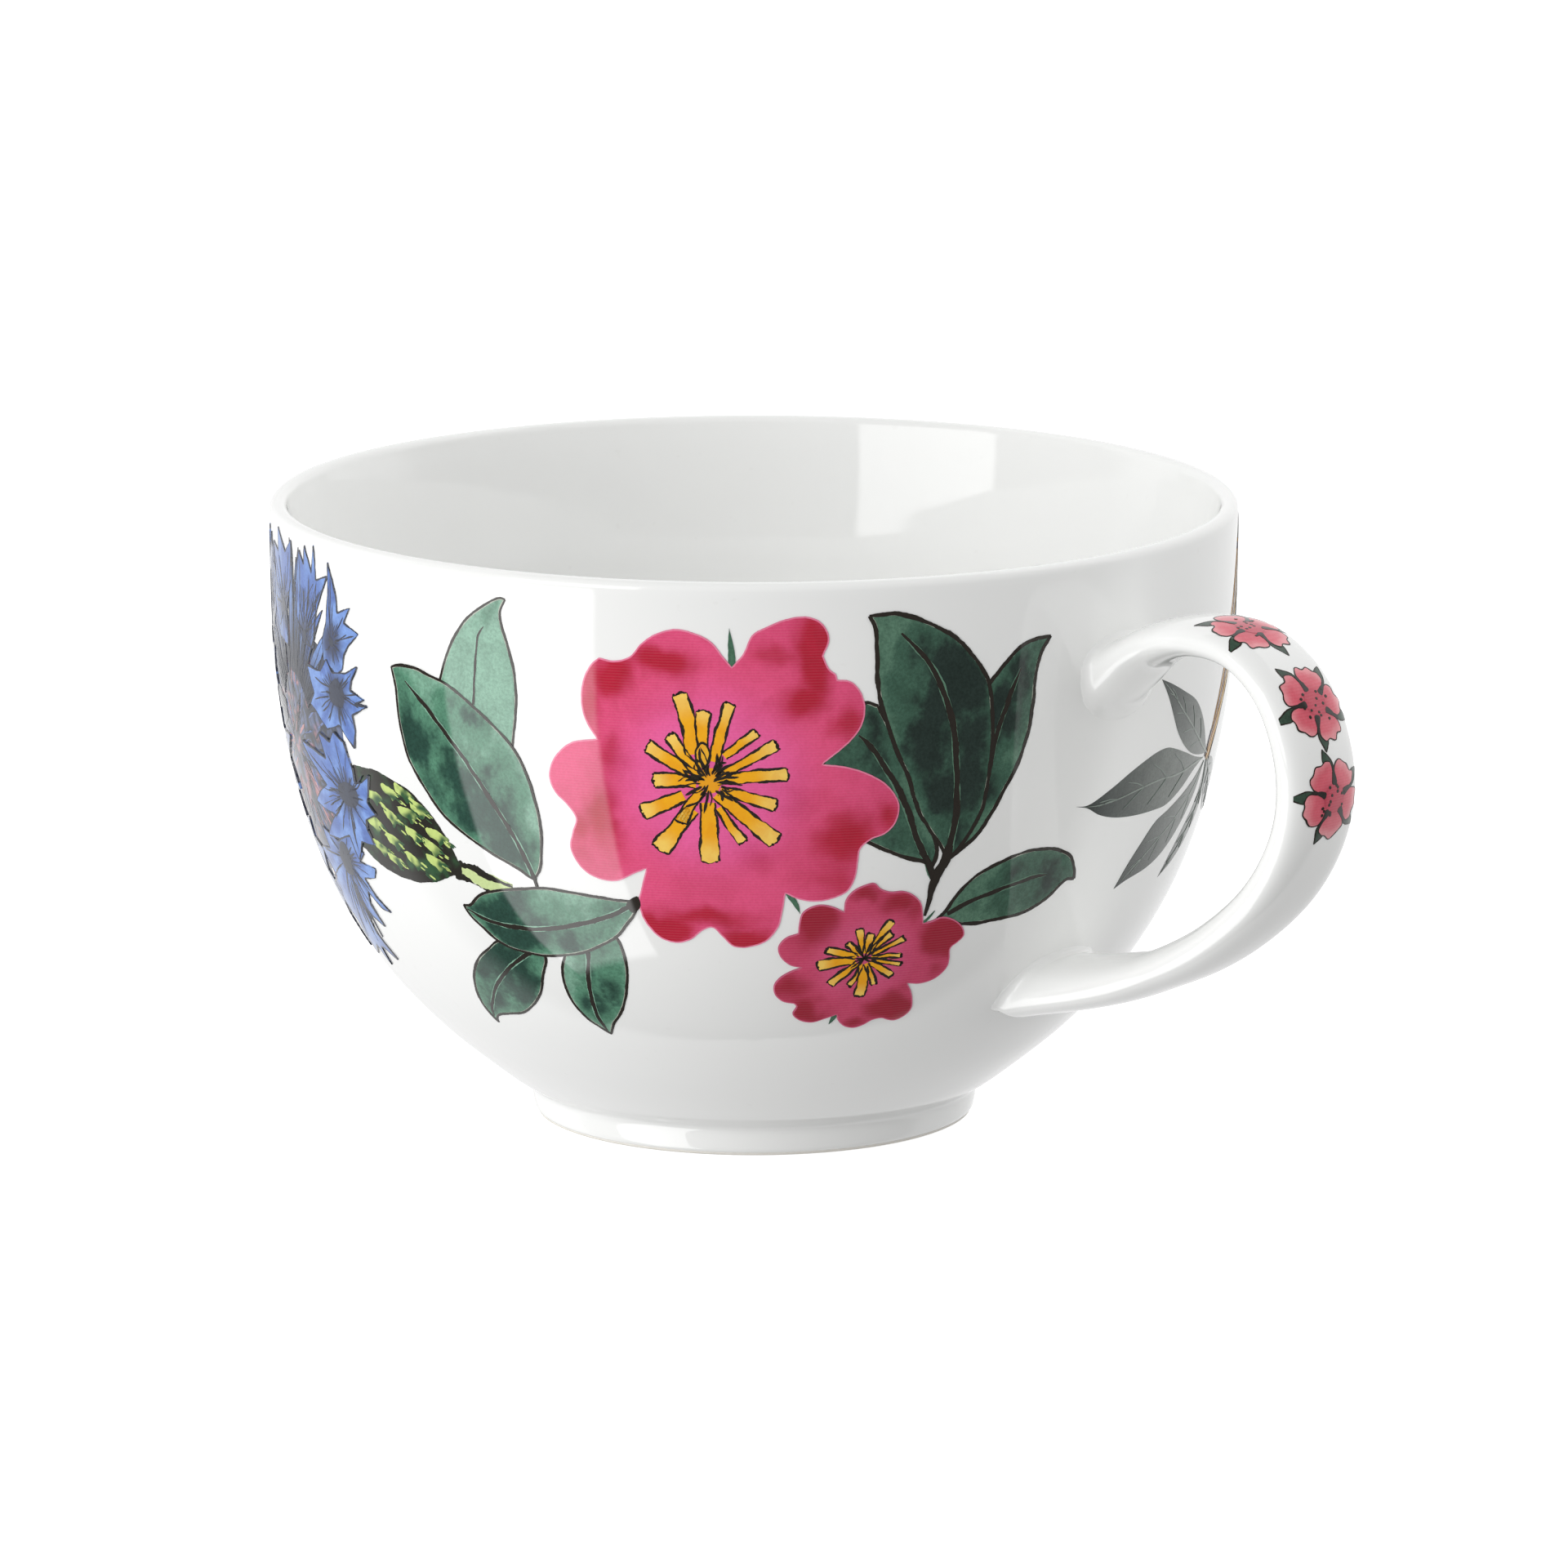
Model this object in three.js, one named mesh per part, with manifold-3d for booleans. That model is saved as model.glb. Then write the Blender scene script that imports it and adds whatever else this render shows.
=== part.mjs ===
// A porcelain teacup: a round bowl turned on a wheel, a foot ring under it, and a
// strap handle stuck to the wall with slip at its two ends.
// Millimetres, +Z up. The cup stands on z = 0. The origin is the middle of its
// footprint, so the bowl's own axis lies at x = BOWL_X and the handle points to +X.

import * as THREE from 'three';
import { mergeVertices } from 'three/addons/utils/BufferGeometryUtils.js';
import Module from 'manifold-3d';

// ---- driving dimensions ----
const HEIGHT = 64.7;              // table to the top of the lip
const RIM_RADIUS = 50.0;          // outside of the wall just under the lip
const RIM_WALL = 1.8;             // wall thickness at the lip, which is a half round
const FLOOR_THICKNESS = 3.0;      // under the middle of the bowl
const FLOOR_EDGE_RADIUS = 16.0;   // where the dished floor turns up into the wall
const FLOOR_RISE = 0.5;           // how much higher the floor is there
const FOOT_HEIGHT = 3.0;          // foot ring, table to bowl
const FOOT_TOP_RADIUS = 23.4;     // outside of the foot ring at the bowl
const FOOT_REST_RADIUS = 22.6;    // outside of its flat rest face
const FOOT_REST_WIDTH = 1.2;      // width of the rest face
const FOOT_INNER_RADIUS = 20.6;   // inside of the foot ring
const FOOT_EDGE = 0.4;            // chamfer each side of the rest face

const HANDLE_REACH = 77.3;        // bowl axis to the outermost point of the handle
const GAP = 0.3;                  // clear line each side of the slip
const SLIP_THICKNESS = 0.6;       // the layer of slip itself
const SLIP_SQUEEZE = 0.8;         // how far the slip stands out around the handle's end

const BOWL_X = (RIM_RADIUS - HANDLE_REACH) / 2;
const AROUND = 72;                // facets round the bowl and the foot
const ALONG_HANDLE = 46;          // rings of facets from one end of the strap to the other
const ROUND_HANDLE = 16;          // facets round the strap
const ALONG_SLIP = 8;             // rings of facets through a slip joint

// Outside of the bowl as [radius, height], foot to just under the lip.
const LIP_HEIGHT = HEIGHT - RIM_WALL / 2;
const OUTSIDE = [
  [FOOT_TOP_RADIUS, FOOT_HEIGHT], [26.9, 5.4], [33.6, 11.0], [39.4, 17.6],
  [44.2, 26.0], [47.5, 36.0], [49.5, 48.0], [RIM_RADIUS, LIP_HEIGHT],
];

// Wall thickness at fractions of the way up the outside. The inside flares to the lip.
const WALL = [[0.00, 3.0], [0.50, 3.3], [0.80, 3.7], [0.88, 3.75], [1.00, RIM_WALL]];

// Centre line of the handle as [distance from the bowl's axis, height], top end first.
// Both ends run on inside the wall, where they are trimmed to it.
const CENTRE_LINE = [
  [44.5, 49.6], [50.0, 53.0], [55.5, 56.4], [61.5, 57.8], [67.5, 56.8],
  [72.3, 52.7], [74.8, 46.0], [74.2, 39.5], [70.5, 33.0], [64.0, 27.3],
  [56.0, 22.9], [48.0, 19.9], [39.0, 17.6],
];

// Half thickness and half width of the strap at fractions of its length.
const STRAP = [
  [0.00, 4.6, 6.0], [0.06, 3.4, 5.6], [0.13, 2.1, 5.2], [0.35, 1.9, 5.2],
  [0.52, 2.4, 5.2], [0.84, 2.2, 5.2], [0.93, 3.2, 5.8], [1.00, 4.2, 6.4],
];

const wasm = await Module();
wasm.setup();

// ---- from geometry to solid and back ----

function toSolid(geometry) {
  const bare = geometry.clone();
  bare.deleteAttribute('normal');
  bare.deleteAttribute('uv');
  const merged = mergeVertices(bare, 1e-5);
  return new wasm.Manifold(new wasm.Mesh({
    numProp: 3,
    vertProperties: new Float32Array(merged.attributes.position.array),
    triVerts: new Uint32Array(merged.index.array),
  }));
}

function toGeometry(solid) {
  const mesh = solid.getMesh();
  const geometry = new THREE.BufferGeometry();
  geometry.setAttribute('position', new THREE.BufferAttribute(mesh.vertProperties, 3));
  geometry.setIndex(new THREE.BufferAttribute(mesh.triVerts, 1));
  geometry.computeVertexNormals();
  return geometry;
}

// The row of a table at fraction t, straight from one listed row to the next.
function tableAt(table, t) {
  const i = Math.max(1, table.findIndex(([end]) => end >= t));
  const [from, ...before] = table[i - 1];
  const [to, ...after] = table[i];
  return before.map((value, k) => THREE.MathUtils.lerp(value, after[k], (t - from) / (to - from)));
}

// ---- turned shapes ----

// A lathe turns about Y, so it is stood up on Z and moved to the bowl's axis.
function turned(profile) {
  const points = profile.map(([radius, height]) => new THREE.Vector2(radius, height));
  const geometry = new THREE.LatheGeometry(points, AROUND);
  return geometry.rotateX(Math.PI / 2).translate(BOWL_X, 0, 0);
}

// The outside moved along its own normal: positive distances grow, negative shrink.
function wallLine(distance) {
  const steps = 28;
  const curve = new THREE.SplineCurve(OUTSIDE.map(([r, z]) => new THREE.Vector2(r, z)));
  return Array.from({ length: steps + 1 }, (_, i) => {
    const point = curve.getPoint(i / steps);
    const along = curve.getTangent(i / steps);
    const offset = distance(i / steps);
    return [point.x + along.y * offset, point.y - along.x * offset];
  });
}

function bowlGeometry() {
  const outside = wallLine(() => 0);
  const inside = wallLine((t) => -tableAt(WALL, t)[0]);
  const lipRound = RIM_WALL / 2;
  const lip = [0.25, 0.5, 0.75].map((turn) => [
    RIM_RADIUS - lipRound + Math.cos(Math.PI * turn) * lipRound,
    LIP_HEIGHT + Math.sin(Math.PI * turn) * lipRound,
  ]);
  const floor = FOOT_HEIGHT + FLOOR_THICKNESS;
  return turned([[0, FOOT_HEIGHT], ...outside, ...lip, ...inside.slice(3).reverse(),
    [FLOOR_EDGE_RADIUS, floor + FLOOR_RISE], [0, floor]]);
}

function footGeometry() {
  const restInner = FOOT_REST_RADIUS - FOOT_REST_WIDTH;
  return turned([
    [FOOT_INNER_RADIUS, FOOT_HEIGHT],
    [restInner - FOOT_EDGE, FOOT_EDGE], [restInner, 0],
    [FOOT_REST_RADIUS, 0], [FOOT_REST_RADIUS + FOOT_EDGE / 2, FOOT_EDGE],
    [FOOT_TOP_RADIUS, FOOT_HEIGHT],
    [FOOT_INNER_RADIUS, FOOT_HEIGHT],
  ]);
}

// Everything within the outside of the bowl, grown by a distance and filled to the axis.
function filledBowl(distance) {
  const wall = wallLine(() => distance);
  const [topRadius] = wall[wall.length - 1];
  return toSolid(turned([[0, FOOT_HEIGHT - distance], ...wall,
    [topRadius, HEIGHT + distance], [0, HEIGHT + distance]]));
}

// ---- the strap handle ----

// A capped cylinder bent along the centre line, each ring stretched to the strap's
// section there and grown all round by the given amount.
function strapSolid(from, to, grow, steps) {
  const line = new THREE.SplineCurve(
    CENTRE_LINE.map(([reach, z]) => new THREE.Vector2(reach + BOWL_X, z)));
  const geometry = new THREE.CylinderGeometry(1, 1, 1, ROUND_HANDLE, steps);
  const place = geometry.attributes.position;
  for (let i = 0; i < place.count; i += 1) {
    const t = THREE.MathUtils.lerp(from, to, 0.5 - place.getY(i));
    const centre = line.getPoint(t);
    const along = line.getTangent(t);
    const [thick, wide] = tableAt(STRAP, t);
    const out = place.getX(i) * (thick + grow);
    const side = -place.getZ(i) * (wide + grow);
    place.setXYZ(i, centre.x - along.y * out, side, centre.y + along.x * out);
  }
  return toSolid(geometry);
}

// Slip fills the joint between wall and handle, and stands out a little around it.
function slipSolid(from, to) {
  const layer = filledBowl(GAP + SLIP_THICKNESS).subtract(filledBowl(GAP));
  return layer.intersect(strapSolid(from, to, SLIP_SQUEEZE, ALONG_SLIP));
}

// ---- assembly ----

const glaze = () => new THREE.MeshStandardMaterial({ color: 0xf4f4f2, roughness: 0.08 });
const bareClay = () => new THREE.MeshStandardMaterial({ color: 0xe9e6df, roughness: 0.6 });

function piece(name, geometry, material) {
  const mesh = new THREE.Mesh(geometry, material);
  mesh.name = name;
  return mesh;
}

const strap = strapSolid(0, 1, 0, ALONG_HANDLE);
const handle = strap.subtract(filledBowl(GAP + SLIP_THICKNESS + GAP));

const teacup = new THREE.Group();
teacup.add(
  piece('bowl', bowlGeometry(), glaze()),
  piece('foot_ring', footGeometry(), bareClay()),
  piece('handle', toGeometry(handle), glaze()),
  piece('upper_slip_joint', toGeometry(slipSolid(0, 0.2)), glaze()),
  piece('lower_slip_joint', toGeometry(slipSolid(0.8, 1)), glaze()),
);

export default teacup;
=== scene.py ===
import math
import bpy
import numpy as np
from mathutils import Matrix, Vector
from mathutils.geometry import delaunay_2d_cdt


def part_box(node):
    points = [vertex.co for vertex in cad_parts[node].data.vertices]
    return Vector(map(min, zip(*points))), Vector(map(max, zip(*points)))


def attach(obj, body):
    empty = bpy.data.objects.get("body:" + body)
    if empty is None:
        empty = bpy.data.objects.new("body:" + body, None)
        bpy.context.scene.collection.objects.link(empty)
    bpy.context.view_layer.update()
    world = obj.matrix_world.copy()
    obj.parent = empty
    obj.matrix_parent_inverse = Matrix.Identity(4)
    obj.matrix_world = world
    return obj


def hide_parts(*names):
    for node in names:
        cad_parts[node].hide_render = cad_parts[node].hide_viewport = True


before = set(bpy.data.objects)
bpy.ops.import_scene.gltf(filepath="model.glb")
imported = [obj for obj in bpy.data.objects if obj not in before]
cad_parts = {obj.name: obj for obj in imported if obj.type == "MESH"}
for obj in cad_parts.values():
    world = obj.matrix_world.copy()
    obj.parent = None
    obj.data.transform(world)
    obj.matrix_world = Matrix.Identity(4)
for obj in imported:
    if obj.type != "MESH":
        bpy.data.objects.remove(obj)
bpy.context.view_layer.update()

# A porcelain teacup with printed garden flowers, on a plain white floor.
# Shapes are worked out in millimetres and written in metres. The bowl's own axis
# is vertical through AXIS_X. A place on its outside is given on a chart: x is the
# distance round the wall from the chart's middle, s is the distance up the wall
# from the foot. Azimuths are in degrees, anticlockwise seen from above, from the
# camera's right-hand side.

MM = 0.001
bowl_low, bowl_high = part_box("bowl")
AXIS_X = (bowl_low.x + bowl_high.x) / 2 / MM
HEIGHT = bowl_high.z / MM
HANDLE_TURN = 42.0        # degrees the handle points in front of the camera's right-hand side
rng = np.random.default_rng(11)

# ---- curves in the plane ----


def smooth(points, step=0.25, closed=False):
    """A centripetal Catmull-Rom curve through the points, evenly stepped."""
    p = np.array(points, float)
    if closed:
        p = np.vstack([p[-1], p, p[0], p[1]])
    else:
        p = np.vstack([2 * p[0] - p[1], p, 2 * p[-1] - p[-2]])
    line = []
    for a, b, c, d in zip(p[:-3], p[1:-2], p[2:-1], p[3:]):
        t1 = math.sqrt(np.hypot(*(b - a))) or 1e-6
        t2 = t1 + (math.sqrt(np.hypot(*(c - b))) or 1e-6)
        t3 = t2 + (math.sqrt(np.hypot(*(d - c))) or 1e-6)
        t = np.linspace(t1, t2, 12, endpoint=False)[:, None]
        ab, bc = a + (b - a) * t / t1, b + (c - b) * (t - t1) / (t2 - t1)
        cd = c + (d - c) * (t - t2) / (t3 - t2)
        abc = ab + (bc - ab) * t / t2
        bcd = bc + (cd - bc) * (t - t1) / (t3 - t1)
        line.append(abc + (bcd - abc) * (t - t1) / (t2 - t1))
    return even(np.vstack(line + [p[-2][None]]), step)


def even(line, step):
    """The same line with its points about one step apart."""
    run = np.r_[0, np.cumsum(np.hypot(*np.diff(line, axis=0).T))]
    at = np.linspace(0, run[-1], max(2, round(run[-1] / step) + 1))
    return np.column_stack([np.interp(at, run, line[:, k]) for k in (0, 1)])


def sideways(line):
    """The unit normal on the left of an open line, at each point."""
    d = np.gradient(line, axis=0)
    d /= np.maximum(np.hypot(*d.T), 1e-9)[:, None]
    return np.column_stack([-d[:, 1], d[:, 0]])


def between(one, two):
    """The closed outline of a blade whose two edges run from tip to base."""
    return np.vstack([one, two[::-1][1:-1]])


def area(outline):
    """The area inside a closed outline, positive if it runs anticlockwise."""
    x, y = outline.T
    return 0.5 * np.sum(x * np.roll(y, -1) - np.roll(x, -1) * y)


def shrunk(outline, distance):
    """A closed outline moved inwards."""
    d = np.roll(outline, -1, 0) - np.roll(outline, 1, 0)
    d /= np.maximum(np.hypot(*d.T), 1e-9)[:, None]
    side = 1 if area(outline) > 0 else -1
    return outline + side * distance * np.column_stack([-d[:, 1], d[:, 0]])


def wander(count, size, reach=3):
    """Smooth random numbers along a line, about size each way."""
    noise = rng.normal(size=count + 2 * reach)
    return size * np.convolve(noise, np.ones(2 * reach + 1) / (2 * reach + 1) ** 0.5, "valid")


def lattice(p, size, seed=0):
    """Value noise in the plane, 0 to 1, with cells of that size."""
    q = np.asarray(p, float) / size
    cell = np.floor(q)
    f = q - cell
    f = f * f * (3 - 2 * f)

    def corner(dx, dy):
        wave = np.sin((cell[:, 0] + dx) * 127.1 + (cell[:, 1] + dy) * 311.7 + seed * 74.7)
        return np.mod(wave * 43758.5453, 1)

    low = corner(0, 0) * (1 - f[:, 0]) + corner(1, 0) * f[:, 0]
    high = corner(0, 1) * (1 - f[:, 0]) + corner(1, 1) * f[:, 0]
    return low * (1 - f[:, 1]) + high * f[:, 1]


def cloudy(p, size, seed=0):
    """Three sizes of value noise together, 0 to 1."""
    return 0.55 * lattice(p, size, seed) + 0.3 * lattice(p, size / 2.1, seed + 1) \
        + 0.15 * lattice(p, size / 4.3, seed + 2)


def step01(value, low, high):
    """A smooth step from 0 at low to 1 at high."""
    t = np.clip((value - low) / (high - low), 0, 1)
    return t * t * (3 - 2 * t)


def rgb(red, green, blue):
    """A display colour as linear light."""
    c = np.array([red, green, blue], float) / 255
    return np.where(c < 0.04045, c / 12.92, ((c + 0.055) / 1.055) ** 2.4)


def mixed(a, b, share):
    """Colour a turning into colour b by a share from 0 to 1."""
    share = np.asarray(share, float)[..., None]
    return a * (1 - share) + b * share


# ---- the cup's surfaces ----

# Outside of the bowl as [radius, height], foot to just under the lip.
LIP_ROUND = 0.9
OUTSIDE = [[23.4, 3.0], [26.9, 5.4], [33.6, 11.0], [39.4, 17.6], [44.2, 26.0],
           [47.5, 36.0], [49.5, 48.0], [50.0, HEIGHT - LIP_ROUND]]
BOWL_FLOOR = 6.0          # height of the inside at the axis
INSIDE_START = 0.12       # below this t of the outside, the inside is the floor
# Wall thickness at values of the OUTSIDE curve's own t.
WALL = [[0.0, 3.0], [0.5, 3.3], [0.8, 3.7], [0.88, 3.75], [1.0, 2 * LIP_ROUND]]
# Centre line of the handle as [distance from the axis, height], top end first.
CENTRE_LINE = [[44.5, 49.6], [50.0, 53.0], [55.5, 56.4], [61.5, 57.8], [67.5, 56.8],
               [72.3, 52.7], [74.8, 46.0], [74.2, 39.5], [70.5, 33.0], [64.0, 27.3],
               [56.0, 22.9], [48.0, 19.9], [39.0, 17.6]]
# Half thickness and half width of the strap at values of the centre line's own t.
STRAP = [[0.00, 4.4, 5.3], [0.06, 3.4, 5.2], [0.13, 2.1, 5.2], [0.35, 1.9, 5.2],
         [0.52, 2.4, 5.2], [0.84, 2.2, 5.2], [0.93, 3.2, 5.8], [1.00, 4.2, 6.4]]
STRAP_SQUARENESS = 2.35
# The lower root starts at this t. By the end its outer half is thinner by the
# first share, and its inner half is thicker by the second.
LOWER_ROOT, ROOT_THINNER, ROOT_THICKER = 0.78, 0.52, 0.1


def spline(points, t):
    """A uniform Catmull-Rom curve through the points. t is 0 at the first point and
    1 at the last, with equal steps from each point to the next."""
    p = np.array(points, float)
    last = len(p) - 1
    i = np.clip(np.floor(t * last).astype(int), 0, last - 1)
    w = (t * last - i)[:, None]
    before, after = p[np.maximum(i - 1, 0)], p[np.minimum(i + 2, last)]
    a, b = p[i], p[i + 1]
    v0, v1 = (b - before) / 2, (after - a) / 2
    return (2 * a - 2 * b + v0 + v1) * w**3 + (3 * b - 3 * a - 2 * v0 - v1) * w**2 + v0 * w + a


def unit(v):
    """The vectors along the last axis, each of length 1."""
    return v / np.maximum(np.linalg.norm(v, axis=-1), 1e-12)[..., None]


T_WALL = np.linspace(0, 1, 2801)
OUTER = spline(OUTSIDE, T_WALL)
CLIMB = np.r_[0, np.cumsum(np.hypot(*np.diff(OUTER, axis=0).T))]
ALONG = unit(np.gradient(OUTER, axis=0))
OUTWARD = np.column_stack([ALONG[:, 1], -ALONG[:, 0]])


def wall_place(flat, middle, lift):
    """Points and normals on the outside, for chart points about an azimuth."""
    s = np.clip(flat[:, 1], 0, CLIMB[-1])
    r, z, nr, nz = (np.interp(s, CLIMB, v) for v in (*OUTER.T, *OUTWARD.T))
    turn = math.radians(middle + HANDLE_TURN) + flat[:, 0] / r
    normal = np.column_stack([nr * np.cos(turn), nr * np.sin(turn), nz])
    point = np.column_stack([AXIS_X + r * np.cos(turn), r * np.sin(turn), z])
    return point + normal * lift, normal


def softened(values, reach):
    """A weighted running average, reach samples each way."""
    kernel = np.hanning(2 * reach + 3)[1:-1]
    padded = np.r_[np.full(reach, values[0]), values, np.full(reach, values[-1])]
    return np.convolve(padded, kernel / kernel.sum(), "valid")


T_STRAP = np.linspace(0, 1, 1201)
STRAP_LINE = spline(CENTRE_LINE, T_STRAP)
STRAP_ALONG = unit(np.gradient(STRAP_LINE, axis=0))
strap_table = np.array(STRAP)
STRAP_THICK = softened(np.interp(T_STRAP, strap_table[:, 0], strap_table[:, 1]), 40)
STRAP_WIDE = softened(np.interp(T_STRAP, strap_table[:, 0], strap_table[:, 2]), 40)


def strap_at(t):
    """Centre, direction and half sizes of the strap at values of t."""
    return tuple(np.interp(t, T_STRAP, v)
                 for v in (*STRAP_LINE.T, *STRAP_ALONG.T, STRAP_THICK, STRAP_WIDE))


def strap_point(t, out_share, side_share):
    """Points of the strap, and the way they face, in millimetres."""
    reach, z, ar, az, thick, wide = strap_at(t)
    root = step01(t, LOWER_ROOT, 1.0)
    thick = thick * np.where(out_share > 0, 1 - ROOT_THINNER * root, 1 + ROOT_THICKER * root)
    out, side = out_share * thick, side_share * wide
    p = STRAP_SQUARENESS
    face = np.column_stack([
        np.sign(out_share) * np.abs(out_share) ** (p - 1) / thick,
        np.sign(side_share) * np.abs(side_share) ** (p - 1) / wide])
    face = unit(face)
    point = np.column_stack([AXIS_X + reach - az * out, side, z + ar * out])
    normal = np.column_stack([-az * face[:, 0], face[:, 1], ar * face[:, 0]])
    return point, normal


crest, _ = strap_point(T_STRAP, np.ones_like(T_STRAP), np.zeros_like(T_STRAP))
CREST_RUN = np.r_[0, np.cumsum(np.linalg.norm(np.diff(crest, axis=0), axis=1))]


def handle_place(flat, middle, lift):
    """Points and normals on the handle's outer face. Chart x runs across it and s
    runs back along it from the t called middle."""
    start = np.interp(middle, T_STRAP, CREST_RUN)
    t = np.interp(start - flat[:, 1], CREST_RUN, T_STRAP)
    wide = np.interp(t, T_STRAP, STRAP_WIDE)
    side = np.clip(flat[:, 0] / wide, -0.93, 0.93)
    out = (1 - np.abs(side) ** STRAP_SQUARENESS) ** (1 / STRAP_SQUARENESS)
    point, normal = strap_point(t, out, side)
    return point + normal * lift, normal


# ---- meshes ----


def add_object(name, points, faces, materials, face_slots=None, normals=None, tints=None):
    """A smooth mesh object. Points are in millimetres; tints are colours of points."""
    mesh = bpy.data.meshes.new(name)
    mesh.from_pydata([tuple(p) for p in np.asarray(points) * MM], [], faces)
    mesh.shade_smooth()
    for material in materials:
        mesh.materials.append(material)
    if face_slots is not None:
        mesh.polygons.foreach_set("material_index", face_slots)
    if tints is not None:
        colour = mesh.color_attributes.new("tint", "FLOAT_COLOR", "POINT")
        colour.data.foreach_set("color", np.column_stack([tints, np.ones(len(tints))]).ravel())
    mesh.validate()
    if normals is not None:
        mesh.normals_split_custom_set_from_vertices([tuple(n) for n in normals])
    piece = bpy.data.objects.new(name, mesh)
    bpy.context.scene.collection.objects.link(piece)
    return piece


def turned(name, profile, material, segments=320):
    """A closed solid of revolution. The profile is anticlockwise seen with the
    axis on its left, and either starts and ends on the axis or closes on itself."""
    profile = np.array(profile, float)
    on_axis = profile[0, 0] < 1e-6
    rings = profile[1:-1] if on_axis else profile
    turn = np.linspace(0, 2 * math.pi, segments, endpoint=False)
    points = [np.column_stack([AXIS_X + r * np.cos(turn), r * np.sin(turn),
                               np.full(segments, z)]) for r, z in rings]
    points = np.vstack(points)
    faces = []
    pairs = list(zip(range(len(rings) - 1), range(1, len(rings))))
    if not on_axis:
        pairs.append((len(rings) - 1, 0))
    for a, b in pairs:
        for i in range(segments):
            j = (i + 1) % segments
            faces.append((a * segments + i, a * segments + j, b * segments + j, b * segments + i))
    if on_axis:
        ends = np.array([[AXIS_X, 0, profile[0, 1]], [AXIS_X, 0, profile[-1, 1]]])
        first, last, top = len(points), len(points) + 1, (len(rings) - 1) * segments
        points = np.vstack([points, ends])
        for i in range(segments):
            j = (i + 1) % segments
            faces.append((first, j, i))
            faces.append((last, top + i, top + j))
    return add_object(name, points, faces, [material])


# ---- enamel films ----

FILM_BASE = -0.02         # a film's underside is just inside the glaze
FIRST_LIFT = 0.016        # the top of the lowest layer of enamel above the glaze
FILM_STEP = 0.012         # each layer of enamel above the one under it


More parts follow.
